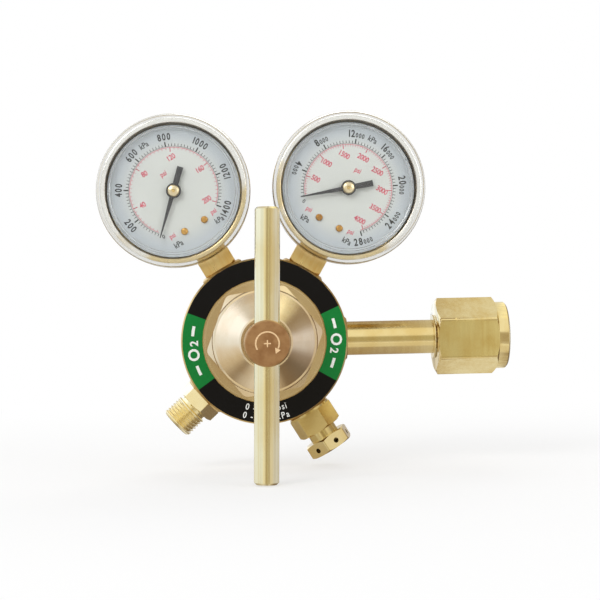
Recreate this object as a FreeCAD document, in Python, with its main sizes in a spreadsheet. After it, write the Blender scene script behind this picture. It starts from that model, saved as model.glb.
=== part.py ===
"""Oxygen regulator: a brass pressure regulator with a cylinder nut, two dial gauges,
a hose outlet, a relief valve and an adjusting screw with a cross bar.

Lengths are in millimetres and angles in degrees. The origin is the mouth of the cylinder
nut, +X runs out along the inlet, +Z is up and the front faces -Y. Inside the functions a
piece is drawn from the crossing of the adjusting screw's axis and the plane of the ports,
"ahead" being the distance in front of that plane.
"""
import FreeCAD, Part
import math
import os
import Sketcher
from fcgear import fcgear, involute

SIZES = {
    # Reach of the inlet, from the screw's axis to the mouth of the nut
    "inlet_reach": 103.3,
    # Forged body
    "body_radius": 34.5,
    "body_front": 18.0,
    "body_back": 13.0,
    "body_back_round": 9.0,
    "body_edge": 0.8,
    "bowl_radius": 24.5,
    "ledge_ahead": 9.0,
    "chamber_radius": 19.5,
    "chamber_floor": 4.0,
    "web_back": 1.0,
    "high_chamber_radius": 7.5,
    "rear_boss_radius": 14.0,
    "rear_boss_end": 18.0,
    "rear_thread_radius": 9.0,
    "rear_thread_start": 12.0,
    "port_face": 35.2,
    "port_boss_radius": 9.4,
    "port_boss_root": 20.0,
    "port_depth": 13.0,
    "port_thread_radius": 6.5,
    "port_drill_radius": 2.2,
    "low_drill_reach": 16.5,
    "passage_reach": 17.6,
    "passage_radius": 1.6,
    "low_gauge_angle": 120.0,
    "high_gauge_angle": 60.0,
    "outlet_angle": 222.4,
    "relief_angle": 301.4,
    # Clearances: between parts that seat or screw together, and of a running fit
    "seat_clearance": 0.1,
    "running_clearance": 0.07,
    "contact_gap": 0.05,
    "thread_root_gap": 0.4,
    # Printed ring round the bonnet
    "label_outer": 33.9,
    "label_inner": 25.6,
    "label_thickness": 0.6,
    # Bonnet over the spring
    "bonnet_flange_radius": 25.3,
    "bonnet_flange": 0.9,
    "bonnet_flats": 42.1,
    "bonnet_corner": 3.0,
    "bonnet_hex_height": 8.6,
    "bonnet_cone_root": 20.3,
    "bonnet_top_radius": 10.6,
    "bonnet_top": 50.0,
    "bonnet_top_edge": 0.7,
    "spring_bore_radius": 14.5,
    "spring_bore_end": 36.0,
    "spring_bore_cone": 5.0,
    "skirt_bore_depth": 4.0,
    # Adjusting screw and its cross bar
    "screw_radius": 6.3,
    "screw_head_radius": 8.8,
    "screw_head_back": 60.0,
    "screw_head_front": 77.0,
    "screw_head_edge": 0.6,
    "screw_tip_radius": 4.0,
    "screw_tip_taper": 2.3,
    "bar_ahead": 68.5,
    "bar_radius": 4.8,
    "bar_length": 104.9,
    "bar_offset": 0.9,
    "bar_lean": -1.4,
    "bar_edge": 0.8,
    # Spring button, spring and diaphragm
    "button_radius": 13.9,
    "button_thickness": 2.5,
    "button_edge": 1.0,
    "button_ahead": 31.5,
    "spring_mean_radius": 11.2,
    "spring_wire_radius": 1.4,
    "spring_turns": 3.5,
    "spigot_radius": 9.2,
    "spigot_height": 2.0,
    "spigot_taper": 0.6,
    "ring_thickness": 1.0,
    "diaphragm_thickness": 0.6,
    "plate_radius": 13.5,
    "plate_thickness": 2.0,
    # Valve between the high and the low pressure sides
    "nozzle_neck_radius": 2.95,
    "nozzle_flange_radius": 5.0,
    "nozzle_flange": 1.3,
    "nozzle_bore_radius": 1.5,
    "nozzle_lip_radius": 2.1,
    "nozzle_lip": 0.6,
    "stem_radius": 1.0,
    "stem_head_radius": 4.0,
    "stem_head": 1.2,
    "stem_head_taper": 0.6,
    "seat_disc_radius": 3.4,
    "seat_disc_thickness": 1.5,
    "seal_proud": 0.2,
    "holder_radius": 5.0,
    "holder_length": 5.0,
    "holder_flange_radius": 6.8,
    "holder_flange": 1.5,
    "holder_spigot_radius": 2.8,
    "holder_spigot": 2.5,
    "closing_spring_radius": 3.8,
    "closing_wire_radius": 0.4,
    "closing_turns": 5.0,
    # Cap that closes the back
    "cap_plug_length": 5.7,
    "cap_bore_radius": 5.0,
    "cap_bore_depth": 3.4,
    "cap_collar_radius": 11.6,
    "cap_collar": 1.2,
    "cap_flats": 19.05,
    "cap_hex": 4.4,
    "cap_seal_radius": 11.4,
    "cap_seal_thickness": 0.4,
    # Inlet nipple, its filter and the cylinder nut
    "tube_radius": 7.15,
    "nipple_bore_radius": 2.5,
    "filter_radius": 3.6,
    "filter_length": 10.0,
    "filter_recess": 0.6,
    "filter_edge": 1.0,
    "nose_shoulder_radius": 9.6,
    "nose_shoulder": 4.7,
    "nose_length": 6.2,
    "nose_tip_radius": 4.6,
    "nose_round": 9.9,
    "nut_flats": 28.6,
    "nut_hex_length": 25.7,
    "nut_collar_radius": 14.2,
    "nut_collar_length": 4.6,
    "nut_chamfer": 1.6,
    "nut_wall": 6.5,
    "nut_play": 0.2,
    "nut_relief_radius": 11.2,
    "nut_thread_radius": 10.5,
    "nut_thread_length": 12.3,
    "nut_rear_collar_radius": 9.2,
    "nut_rear_collar": 1.0,
    # Hose outlet
    "outlet_bore_radius": 2.6,
    "outlet_flats": 15.9,
    "outlet_hex": 5.3,
    "outlet_roll": 10.0,
    "outlet_neck_radius": 6.0,
    "outlet_neck": 1.5,
    "outlet_thread_radius": 7.14,
    "outlet_thread_length": 9.4,
    "outlet_cone_radius": 4.6,
    "outlet_cone_depth": 3.0,
    "hex_corner": 0.3,
    "hex_chamfer": 0.9,
    # Relief valve
    "relief_flange_radius": 9.3,
    "relief_flange": 0.9,
    "relief_flats": 17.0,
    "relief_hex": 8.8,
    "relief_roll": 10.0,
    "relief_neck_radius": 6.2,
    "relief_neck": 5.4,
    "relief_bore_radius": 4.3,
    "relief_seat": 37.0,
    "relief_orifice_radius": 1.5,
    "relief_seat_land": 0.4,
    "relief_seal_radius": 3.0,
    "relief_seal_thickness": 0.8,
    "relief_poppet_radius": 4.0,
    "relief_poppet_length": 3.2,
    "relief_stem_radius": 1.3,
    "relief_stem_length": 6.0,
    "relief_spring_radius": 2.7,
    "relief_wire_radius": 0.4,
    "relief_turns": 6.0,
    "relief_cap_flats": 17.8,
    "relief_cap_back": 48.3,
    "relief_cap_front": 54.3,
    "relief_cap_roll": 11.0,
    "relief_cap_wall": 1.4,
    "relief_vent_radius": 1.1,
    # Gauges: case, lens, dial and socket
    "gauge_reach": 72.5,
    "case_radius": 30.0,
    "case_front": 18.9,
    "case_wall": 1.0,
    "case_side_wall": 1.2,
    "case_rim_width": 2.05,
    "case_rim_depth": 2.0,
    "case_back_round": 2.5,
    "lens_skirt": 1.65,
    "lens_front": 21.0,
    "lens_thickness": 1.9,
    "lens_skirt_end": 12.5,
    "lens_edge": 0.8,
    "lens_step_inset": 1.65,
    "lens_step_width": 0.9,
    "lens_step_depth": 2.0,
    "dial_gap": 0.75,
    "dial_ahead": 15.5,
    "dial_thickness": 0.5,
    "dial_hole_radius": 1.6,
    "dial_screw_reach": 17.2,
    "dial_screw_angle": 16.0,
    "dial_screw_head_radius": 1.45,
    "dial_screw_head": 0.9,
    "dial_screw_radius": 0.85,
    "dial_screw_length": 4.0,
    "dial_post_radius": 2.0,
    "socket_flats": 14.3,
    "socket_edge": 0.7,
    "socket_top": 13.0,
    "socket_bore_radius": 1.5,
    "case_screw_spread": 4.2,
    "case_screw_inset": 7.0,
    "case_screw_head_radius": 2.1,
    "case_screw_head": 1.3,
    "case_screw_radius": 1.1,
    "case_screw_length": 5.0,
    # Gauges: curved tube and its tip
    "bourdon_radius": 19.5,
    "bourdon_start_angle": 262.0,
    "bourdon_tip_angle": 17.0,
    "tube_slot_angle": 16.0,
    "low_bourdon_width": 8.0,
    "low_bourdon_depth": 2.2,
    "low_bourdon_wall": 0.35,
    "high_bourdon_width": 6.0,
    "high_bourdon_depth": 2.8,
    "high_bourdon_wall": 0.6,
    "tip_wall": 0.5,
    "tip_sweep_angle": 6.0,
    "tip_lug_radius": 1.3,
    # Gauges: movement
    "gear_module": 0.25,
    "pinion_teeth": 12,
    "sector_teeth": 84,
    "sector_shift": -0.3,
    "sector_swing_angle": 38.0,
    "sector_thickness": 1.0,
    "sector_ahead": 9.7,
    "sector_hub_radius": 2.0,
    "pinion_width": 2.0,
    "pinion_pivot_radius": 0.6,
    "pivot_angle": -33.4,
    "tail_length": 6.5,
    "tail_radius": 1.1,
    "link_length": 12.0,
    "link_radius": 1.1,
    "link_thickness": 0.5,
    "link_gap": 0.2,
    "pin_radius": 0.45,
    "pin_clearance": 0.05,
    "open_pin_clearance": 0.3,
    "plate_gap": 4.0,
    "movement_plate": 1.0,
    "movement_margin": 3.2,
    "post_radius": 1.2,
    "right_post_across": 13.0,
    "right_post_up": 0.0,
    "left_post_across": -5.0,
    "left_post_up": -1.0,
    "lower_post_across": 4.0,
    "lower_post_up": -12.3,
    "hairspring_inner": 1.3,
    "hairspring_pitch": 0.5,
    "hairspring_turns": 3.0,
    "hairspring_width": 0.5,
    "hairspring_strip": 0.12,
    # Gauges: pointer; the zero lies this far clockwise of the socket, seen from the front
    "low_zero_angle": 47.0,
    "high_zero_angle": 50.4,
    "pointer_ahead": 16.8,
    "pointer_thickness": 0.35,
    "pointer_length": 20.2,
    "pointer_tail": 10.3,
    "pointer_tail_width": 2.6,
    "pointer_root_width": 2.1,
    "pointer_tip_width": 0.35,
    "pointer_boss_radius": 3.1,
    "pointer_boss": 0.7,
    "pointer_hub_radius": 2.6,
    "pointer_hub": 1.6,
    "hub_dimple_radius": 0.8,
    "hub_dimple": 0.4,
}


class Size:
    """A number together with the sheet expression that it comes from."""

    def __init__(self, value, text):
        self.value = value
        self.text = text

    def __add__(self, other):
        other = as_size(other)
        return Size(self.value + other.value, "(%s + %s)" % (self.text, other.text))

    def __sub__(self, other):
        other = as_size(other)
        return Size(self.value - other.value, "(%s - %s)" % (self.text, other.text))

    def __mul__(self, other):
        other = as_size(other)
        return Size(self.value * other.value, "(%s * %s)" % (self.text, other.text))

    def __neg__(self):
        return Size(-self.value, "(0 - %s)" % self.text)

    def __radd__(self, other):
        return as_size(other) + self

    def __rsub__(self, other):
        return as_size(other) - self


def as_size(number):
    """A bare number as a size without a sheet cell."""
    if isinstance(number, Size):
        return number
    return Size(float(number), "(%.9f)" % number)


def cosine(angle):
    angle = as_size(angle)
    return Size(math.cos(math.radians(angle.value)), "cos(%s)" % angle.text)


def sine(angle):
    angle = as_size(angle)
    return Size(math.sin(math.radians(angle.value)), "sin(%s)" % angle.text)


class Sheet:
    """The driving sizes, read as attributes."""

    def __init__(self, document, sizes):
        table = document.addObject("Spreadsheet::Sheet", "Sizes")
        for row, (name, value) in enumerate(sizes.items(), start=1):
            table.set("A%d" % row, name)
            table.set("B%d" % row, str(value))
            table.setAlias("B%d" % row, name)
            setattr(self, name, Size(float(value), "Sizes.%s" % name))


doc = FreeCAD.newDocument("oxygen_regulator")
s = Sheet(doc, SIZES)
doc.recompute()
NOTHING = as_size(0)
FULL_TURN = 360
HEXAGON_SIDES = 6
HEXAGON_SLOPE = math.tan(math.radians(30))
CHAMFER_REACH = 0.65
HALF_DIAGONAL = math.sqrt(0.5)
PRESSURE_ANGLE = 20.0
ADDENDUM = 1.0
DEDENDUM = 1.25
ROOT_FILLET = 0.38
SPARE_TEETH = 1.5
BONNET_TURN = 39.3
NUT_TURN = 4.0
RELIEF_CAP_TURN = 30.0
SUBPARTS = []


def bind(thing, name, size):
    """Set a property and tie it to the sheet."""
    size = as_size(size)
    setattr(thing, name, size.value)
    if "Sizes." in size.text:
        thing.setExpression(name, size.text)


def placement_text(across, ahead, up, tilt, roll=NOTHING):
    return ("placement(vector(%s; %s; %s); "
            "rotation(vector(0; -1; 0); %s) * rotation(vector(1; 0; 0); %s))"
            % (across.text, (-as_size(ahead)).text, as_size(up).text, as_size(tilt).text,
               as_size(roll).text))


def settle(piece, across=NOTHING, ahead=NOTHING, up=NOTHING, tilt=NOTHING, roll=NOTHING):
    """Set a piece down at its place beside the screw's axis, turned about that axis by the
    tilt and first about its port's axis by the roll."""
    piece.setExpression("Placement", placement_text(as_size(across) - s.inlet_reach, ahead, up,
                                                    tilt, roll))


def new_body(name):
    body = doc.addObject("PartDesign::Body", name)
    body.Label = name
    body.AllowCompound = True
    SUBPARTS.append(body)
    return body


def new_sketch(body, role, name, turn=None, across=None, along=None, lift=None):
    """A sketch on one of the body's own planes, turned in it and moved along or off it."""
    sketch = body.newObject("Sketcher::SketchObject", name)
    plane = [feature for feature in body.Origin.OriginFeatures if feature.Role == role][0]
    sketch.AttachmentSupport = (plane, [""])
    sketch.MapMode = "FlatFace"
    moves = {"Base.x": across, "Base.y": along, "Base.z": lift}
    base = FreeCAD.Vector(*[as_size(size or 0).value for size in moves.values()])
    angle = as_size(turn or 0)
    upright = FreeCAD.Vector(0, 0, 1)
    sketch.AttachmentOffset = FreeCAD.Placement(base, FreeCAD.Rotation(upright, angle.value))
    texts = [as_size(size or 0).text for size in moves.values()]
    sketch.setExpression("AttachmentOffset",
                         "placement(vector(%s; %s; %s); rotation(vector(0; 0; 1); %s))"
                         % (texts[0], texts[1], texts[2], angle.text))
    return sketch


def fix(sketch, kind, geometry, point, size):
    """Hold a point's distance from the sketch's origin along one axis."""
    size = as_size(size)
    index = sketch.addConstraint(Sketcher.Constraint(kind, -1, 1, geometry, point, size.value))
    if "Sizes." in size.text:
        sketch.setExpression("Constraints[%d]" % index, size.text)


def fix_radius(sketch, geometry, size):
    size = as_size(size)
    index = sketch.addConstraint(Sketcher.Constraint("Radius", geometry, size.value))
    if "Sizes." in size.text:
        sketch.setExpression("Constraints[%d]" % index, size.text)


def arc_between(start, end, radius):
    """The shorter arc from start to end, its centre to the left where the radius is positive."""
    half = (end - start) * 0.5
    reach = math.sqrt(max(radius * radius - half.Length ** 2, 0.0))
    left = FreeCAD.Vector(-half.y, half.x, 0).normalize()
    centre = start + half + left * math.copysign(reach, radius)
    circle = Part.Circle(centre, FreeCAD.Vector(0, 0, 1), abs(radius))
    first, last = (start, end) if radius > 0 else (end, start)
    begin = math.atan2(first.y - centre.y, first.x - centre.x)
    finish = math.atan2(last.y - centre.y, last.x - centre.x)
    if finish <= begin:
        finish += 2 * math.pi
    return Part.ArcOfCircle(circle, begin, finish)


def draw(sketch, corners):
    """Draw a closed outline. A corner is (across, along), or (across, along, radius) where
    an arc leads to the next corner."""
    points = [FreeCAD.Vector(as_size(c[0]).value, as_size(c[1]).value, 0) for c in corners]
    ends = []
    for index, corner in enumerate(corners):
        start = points[index]
        end = points[(index + 1) % len(points)]
        if len(corner) == 3:
            radius = as_size(corner[2])
            geometry = sketch.addGeometry(arc_between(start, end, radius.value), False)
            ends.append((geometry, 1, 2) if radius.value > 0 else (geometry, 2, 1))
        else:
            geometry = sketch.addGeometry(Part.LineSegment(start, end), False)
            ends.append((geometry, 1, 2))
    for index, (geometry, begin, finish) in enumerate(ends):
        following = ends[(index + 1) % len(ends)]
        sketch.addConstraint(Sketcher.Constraint("Coincident", geometry, finish,
                                                 following[0], following[1]))
        fix(sketch, "DistanceX", geometry, begin, corners[index][0])
        fix(sketch, "DistanceY", geometry, begin, corners[index][1])
        if len(corners[index]) == 3:
            radius = as_size(corners[index][2])
            size = radius if radius.value > 0 else -radius
            fix_radius(sketch, geometry, size)


def ring(sketch, across, along, radius):
    """Draw a full circle."""
    centre = FreeCAD.Vector(as_size(across).value, as_size(along).value, 0)
    circle = Part.Circle(centre, FreeCAD.Vector(0, 0, 1), as_size(radius).value)
    geometry = sketch.addGeometry(circle, False)
    fix(sketch, "DistanceX", geometry, 3, across)
    fix(sketch, "DistanceY", geometry, 3, along)
    fix_radius(sketch, geometry, radius)


def mirrored(corner):
    """A (radius, ahead) corner in a sketch whose second axis runs back."""
    return (corner[0], -as_size(corner[1])) + tuple(-as_size(r) for r in corner[2:])


def turned(body, name, corners, cut=False, axis="screw", turn=None, sweep=FULL_TURN):
    """Turn an outline about an axis. Corners are (radius, ahead) about the screw's axis,
    (reach, radius) about a port's axis and (radius, up) about an upright axis."""
    if axis == "screw":
        sketch = new_sketch(body, "XY_Plane", name + "_outline")
        outline = [mirrored(corner) for corner in corners]
        line = "V_Axis"
    else:
        sketch = new_sketch(body, "XZ_Plane", name + "_outline", turn=turn)
        outline = corners
        line = "H_Axis" if axis == "port" else "V_Axis"
    draw(sketch, outline)
    feature = body.newObject("PartDesign::Groove" if cut else "PartDesign::Revolution", name)
    feature.Profile = sketch
    feature.ReferenceAxis = (sketch, [line])
    bind(feature, "Angle", sweep)
    return feature


def raised(body, name, drawing, back, front, cut=False, turn=None, role="XZ_Plane"):
    """Raise, or cut, a flat drawing from one height to another over the named plane; over
    the plane of the ports the heights count towards the front."""
    sketch = new_sketch(body, role, name + "_outline", turn=turn, lift=back)
    drawing(sketch)
    feature = body.newObject("PartDesign::Pocket" if cut else "PartDesign::Pad", name)
    feature.Profile = sketch
    bind(feature, "Length", as_size(front) - as_size(back))
    if cut:
        feature.Reversed = True
    return feature


def hexagon(flats, corner, turn=0):
    """A hexagon with rounded corners about the origin, as an outline for draw."""
    half = as_size(flats) * 0.5
    reach = (half - corner) * HEXAGON_SLOPE
    outline = []
    for index in range(HEXAGON_SIDES):
        angle = turn + FULL_TURN / HEXAGON_SIDES * index
        across, along = math.cos(math.radians(angle)), math.sin(math.radians(angle))
        outline.append((half * across + reach * along, half * along - reach * across))
        outline.append((half * across - reach * along, half * along + reach * across, corner))
    return outline


def chamfer_hexagon(body, name, flats, end, inward, axis="port"):
    """Turn a hexagon's corners off at one end, sloping from the circle inside its flats.
    Inward is 1 where the hexagon lies beyond the end and -1 where it lies before it."""
    inner = flats * 0.5 - s.contact_gap
    outer = flats * CHAMFER_REACH
    top = end - s.contact_gap * inward
    foot = top + (outer - inner) * HEXAGON_SLOPE * inward
    corners = [(top, inner), (top, outer), (foot, outer)]
    if axis == "screw":
        corners = [(radius, ahead) for ahead, radius in corners]
    turned(body, name, corners, cut=True, axis=axis)


def band(sketch, centres, radius):
    """Draw the outline of a belt stretched round equal circles, their centres listed
    anticlockwise: a line along each side and an arc round each centre."""
    upright = FreeCAD.Vector(0, 0, 1)
    count = len(centres)
    points = [FreeCAD.Vector(as_size(a).value, as_size(b).value, 0) for a, b in centres]
    normals = []
    for index in range(count):
        side = points[(index + 1) % count] - points[index]
        normals.append(FreeCAD.Vector(side.y, -side.x, 0).normalize())
    lines = []
    arcs = []
    for index in range(count):
        shift = normals[index] * radius.value
        start, end = points[index] + shift, points[(index + 1) % count] + shift
        lines.append(sketch.addGeometry(Part.LineSegment(start, end), False))
    for index in range(count):
        before, after = normals[index - 1], normals[index]
        begin = math.atan2(before.y, before.x)
        finish = math.atan2(after.y, after.x)
        if finish <= begin:
            finish += 2 * math.pi
        circle = Part.Circle(points[index], upright, radius.value)
        arcs.append(sketch.addGeometry(Part.ArcOfCircle(circle, begin, finish), False))
    for index in range(count):
        fix(sketch, "DistanceX", arcs[index], 3, centres[index][0])
        fix(sketch, "DistanceY", arcs[index], 3, centres[index][1])
        fix_radius(sketch, arcs[index], radius)
        sketch.addConstraint(Sketcher.Constraint("Tangent", lines[index - 1], 2, arcs[index], 1))
        sketch.addConstraint(Sketcher.Constraint("Tangent", arcs[index], 2, lines[index], 1))


def coil(body, name, mean_radius, wire_radius, back, front, turns, axis="screw"):
    """A round-wire spring, its outside from back to front along the axis."""
    if axis == "screw":
        sketch = new_sketch(body, "XY_Plane", name + "_wire")
        ring(sketch, mean_radius, (-as_size(back)) - wire_radius, wire_radius)
        line = "V_Axis"
    else:
        sketch = new_sketch(body, "XZ_Plane", name + "_wire")
        ring(sketch, as_size(back) + wire_radius, mean_radius, wire_radius)
        line = "H_Axis"
    feature = body.newObject("PartDesign::AdditiveHelix", name)
    feature.Profile = sketch
    feature.ReferenceAxis = (sketch, [line])
    feature.Mode = "height-turns-angle"
    feature.Angle = 0
    feature.Growth = 0
    feature.Reversed = axis == "screw"
    bind(feature, "Height", as_size(front) - back - wire_radius * 2)
    bind(feature, "Turns", turns)


def make_body():
    """The forging: bowl and low pressure chamber at the front, high pressure chamber behind
    the web, a boss and a stepped bore for each port."""
    body = new_body("body")
    turned(body, "forging", [
        (NOTHING, s.body_front),
        (s.body_radius - s.body_edge, s.body_front),
        (s.body_radius, s.body_front - s.body_edge),
        (s.body_radius, s.body_back_round - s.body_back, -s.body_back_round),
        (s.body_radius - s.body_back_round, -s.body_back),
        (s.rear_boss_radius, -s.body_back),
        (s.rear_boss_radius, s.body_edge - s.rear_boss_end),
        (s.rear_boss_radius - s.body_edge, -s.rear_boss_end),
        (NOTHING, -s.rear_boss_end)])
    ports = [("inlet", NOTHING), ("high_gauge", s.high_gauge_angle),
             ("low_gauge", s.low_gauge_angle), ("outlet", s.outlet_angle),
             ("relief", s.relief_angle)]
    for name, angle in ports:
        turned(body, name + "_boss", [
            (s.port_boss_root, NOTHING),
            (s.port_face, NOTHING),
            (s.port_face, s.port_boss_radius - s.body_edge),
            (s.port_face - s.body_edge, s.port_boss_radius),
            (s.port_boss_root, s.port_boss_radius)], axis="port", turn=angle)
    turned(body, "chambers", [
        (NOTHING, s.body_front),
        (s.bowl_radius, s.body_front),
        (s.bowl_radius, s.ledge_ahead),
        (s.chamber_radius, s.ledge_ahead),
        (s.chamber_radius, s.chamber_floor),
        (s.nozzle_neck_radius + s.contact_gap, s.chamber_floor),
        (s.nozzle_neck_radius + s.contact_gap, s.web_back),
        (s.high_chamber_radius, s.web_back),
        (s.high_chamber_radius, -s.rear_thread_start),
        (s.rear_thread_radius, -s.rear_thread_start),
        (s.rear_thread_radius, -s.rear_boss_end),
        (NOTHING, -s.rear_boss_end)], cut=True)
    for name, angle in ports:
        high = name in ("inlet", "high_gauge")
        drill_end = s.high_chamber_radius if high else s.low_drill_reach
        turned(body, name + "_port", [
            (drill_end, NOTHING),
            (s.port_face, NOTHING),
            (s.port_face, s.port_thread_radius),
            (s.port_face - s.port_depth, s.port_thread_radius),
            (s.port_face - s.port_depth - s.port_thread_radius + s.port_drill_radius,
             s.port_drill_radius),
            (drill_end, s.port_drill_radius)], cut=True, axis="port", turn=angle)
        if not high:
            raised(body, name + "_passage",
                   lambda sketch: ring(sketch, s.passage_reach, NOTHING, s.passage_radius),
                   NOTHING, s.chamber_floor, cut=True, turn=angle)
    settle(body)


def make_label_ring():
    body = new_body("label_ring")
    back = s.body_front
    front = s.body_front + s.label_thickness
    turned(body, "disc", [
        (s.label_inner, back),
        (s.label_outer, back),
        (s.label_outer, front),
        (s.label_inner, front)])
    settle(body)


def make_bonnet():
    """A hexagon with a turned cone above it and a threaded skirt below, bored for the
    spring."""
    body = new_body("bonnet")
    flange_top = s.body_front + s.bonnet_flange
    hex_top = flange_top + s.bonnet_hex_height
    skirt_end = s.ledge_ahead + s.diaphragm_thickness + s.ring_thickness
    turned(body, "skirt", [
        (NOTHING, skirt_end),
        (s.bowl_radius - s.seat_clearance, skirt_end),
        (s.bowl_radius - s.seat_clearance, s.body_front),
        (s.bonnet_flange_radius, s.body_front),
        (s.bonnet_flange_radius, flange_top),
        (NOTHING, flange_top)])
    raised(body, "hexagon",
           lambda sketch: draw(sketch, hexagon(s.bonnet_flats, s.bonnet_corner, BONNET_TURN)),
           flange_top, hex_top)
    chamfer_hexagon(body, "hexagon_chamfer", s.bonnet_flats, hex_top, -1, axis="screw")
    turned(body, "cone", [
        (NOTHING, flange_top),
        (s.bonnet_cone_root, flange_top),
        (s.bonnet_cone_root, hex_top),
        (s.bonnet_top_radius, s.bonnet_top - s.bonnet_top_edge),
        (s.bonnet_top_radius - s.bonnet_top_edge, s.bonnet_top),
        (NOTHING, s.bonnet_top)])
    bore = s.screw_radius + s.running_clearance
    turned(body, "bore", [
        (NOTHING, skirt_end),
        (s.chamber_radius, skirt_end),
        (s.chamber_radius, skirt_end + s.skirt_bore_depth),
        (s.spring_bore_radius, skirt_end + s.skirt_bore_depth + s.spring_bore_cone * 0.5),
        (s.spring_bore_radius, s.spring_bore_end),
        (bore, s.spring_bore_end + s.spring_bore_cone),
        (bore, s.bonnet_top),
        (NOTHING, s.bonnet_top)], cut=True)
    settle(body)


def make_adjusting_screw():
    """Screw with a plain tip on the button and a drum head bored for the cross bar."""
    body = new_body("adjusting_screw")
    tip = s.button_ahead + s.button_thickness + s.contact_gap
    turned(body, "shank", [
        (NOTHING, tip),
        (s.screw_tip_radius, tip),
        (s.screw_radius, tip + s.screw_tip_taper),
        (s.screw_radius, s.screw_head_back),
        (s.screw_head_radius - s.screw_head_edge, s.screw_head_back),
        (s.screw_head_radius, s.screw_head_back + s.screw_head_edge),
        (s.screw_head_radius, s.screw_head_front - s.screw_head_edge),
        (s.screw_head_radius - s.screw_head_edge, s.screw_head_front),
        (NOTHING, s.screw_head_front)])
    raised(body, "bar_hole",
           lambda sketch: ring(sketch, NOTHING, -s.bar_ahead, s.bar_radius + s.contact_gap),
           -s.screw_head_radius, s.screw_head_radius, cut=True, role="XY_Plane")
    settle(body, tilt=s.bar_lean)


def make_t_bar():
    body = new_body("t_bar")
    low = s.bar_length * -0.5 - s.bar_offset
    high = s.bar_length * 0.5 - s.bar_offset
    turned(body, "bar", [
        (NOTHING, low),
        (s.bar_radius - s.bar_edge, low),
        (s.bar_radius, low + s.bar_edge),
        (s.bar_radius, high - s.bar_edge),
        (s.bar_radius - s.bar_edge, high),
        (NOTHING, high)], axis="upright")
    settle(body, ahead=s.bar_ahead, tilt=s.bar_lean)


def make_spring_button():
    body = new_body("spring_button")
    turned(body, "disc", [
        (NOTHING, s.button_ahead - s.spigot_height),
        (s.spigot_radius - s.spigot_taper, s.button_ahead - s.spigot_height),
        (s.spigot_radius, s.button_ahead),
        (s.button_radius, s.button_ahead),
        (s.button_radius, s.button_ahead + s.button_thickness - s.button_edge),
        (s.button_radius - s.button_edge, s.button_ahead + s.button_thickness),
        (NOTHING, s.button_ahead + s.button_thickness)])
    settle(body)


def plate_front():
    """How far ahead the face lies on which the adjusting spring stands."""
    return s.ledge_ahead + s.diaphragm_thickness + s.plate_thickness


def make_adjusting_spring():
    body = new_body("adjusting_spring")
    coil(body, "coil", s.spring_mean_radius, s.spring_wire_radius, plate_front(),
         s.button_ahead, s.spring_turns)
    settle(body)


def make_slip_ring():
    body = new_body("slip_ring")
    back = s.ledge_ahead + s.diaphragm_thickness
    outer = s.bowl_radius - s.seat_clearance * 2
    turned(body, "washer", [
        (s.chamber_radius, back),
        (outer, back),
        (outer, back + s.ring_thickness),
        (s.chamber_radius, back + s.ring_thickness)])
    settle(body)


def make_diaphragm():
    body = new_body("diaphragm")
    outer = s.bowl_radius - s.seat_clearance * 2
    front = s.ledge_ahead + s.diaphragm_thickness
    turned(body, "disc", [
        (NOTHING, s.ledge_ahead),
        (outer, s.ledge_ahead),
        (outer, front),
        (NOTHING, front)])
    settle(body)


def make_diaphragm_plate():
    body = new_body("diaphragm_plate")
    back = s.ledge_ahead + s.diaphragm_thickness
    turned(body, "plate", [
        (NOTHING, back),
        (s.plate_radius, back),
        (s.plate_radius, plate_front()),
        (s.spigot_radius, plate_front()),
        (s.spigot_radius - s.spigot_taper, plate_front() + s.spigot_height),
        (NOTHING, plate_front() + s.spigot_height)])
    settle(body)


def make_nozzle():
    """The seat: a neck in the web, a flange behind it and a raised lip."""
    body = new_body("nozzle")
    flange_back = s.web_back - s.nozzle_flange
    turned(body, "seat", [
        (s.nozzle_bore_radius, s.chamber_floor),
        (s.nozzle_neck_radius, s.chamber_floor),
        (s.nozzle_neck_radius, s.web_back),
        (s.nozzle_flange_radius, s.web_back),
        (s.nozzle_flange_radius, flange_back),
        (s.nozzle_lip_radius + s.nozzle_lip, flange_back),
        (s.nozzle_lip_radius, flange_back - s.nozzle_lip),
        (s.nozzle_bore_radius, flange_back - s.nozzle_lip)])
    settle(body)


def valve_face():
    """How far ahead the valve's seat face lies; it is negative, behind the ports."""
    return s.web_back - s.nozzle_flange - s.nozzle_lip - s.contact_gap


def make_valve_stem():
    body = new_body("valve_stem")
    turned(body, "stem", [
        (NOTHING, s.ledge_ahead),
        (s.stem_head_radius, s.ledge_ahead),
        (s.stem_head_radius, s.ledge_ahead - s.stem_head),
        (s.stem_radius, s.ledge_ahead - s.stem_head - s.stem_head_taper),
        (s.stem_radius, valve_face() - s.seat_disc_thickness),
        (NOTHING, valve_face() - s.seat_disc_thickness)])
    settle(body)


def make_seat_disc():
    body = new_body("seat_disc")
    hole = s.stem_radius + s.contact_gap
    turned(body, "disc", [
        (hole, valve_face()),
        (s.seat_disc_radius, valve_face()),
        (s.seat_disc_radius, valve_face() - s.seat_disc_thickness),
        (hole, valve_face() - s.seat_disc_thickness)])
    settle(body)


def holder_back():
    return valve_face() - s.seat_disc_thickness - s.holder_length


def make_seat_holder():
    body = new_body("seat_holder")
    pocket_floor = valve_face() - s.seat_disc_thickness
    lip = valve_face() - s.seal_proud
    turned(body, "holder", [
        (NOTHING, pocket_floor),
        (s.seat_disc_radius, pocket_floor),
        (s.seat_disc_radius, lip),
        (s.holder_radius, lip),
        (s.holder_radius, holder_back() + s.holder_flange),
        (s.holder_flange_radius, holder_back() + s.holder_flange),
        (s.holder_flange_radius, holder_back()),
        (s.holder_spigot_radius, holder_back()),
        (s.holder_spigot_radius, holder_back() - s.holder_spigot),
        (NOTHING, holder_back() - s.holder_spigot)])
    settle(body)


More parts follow.
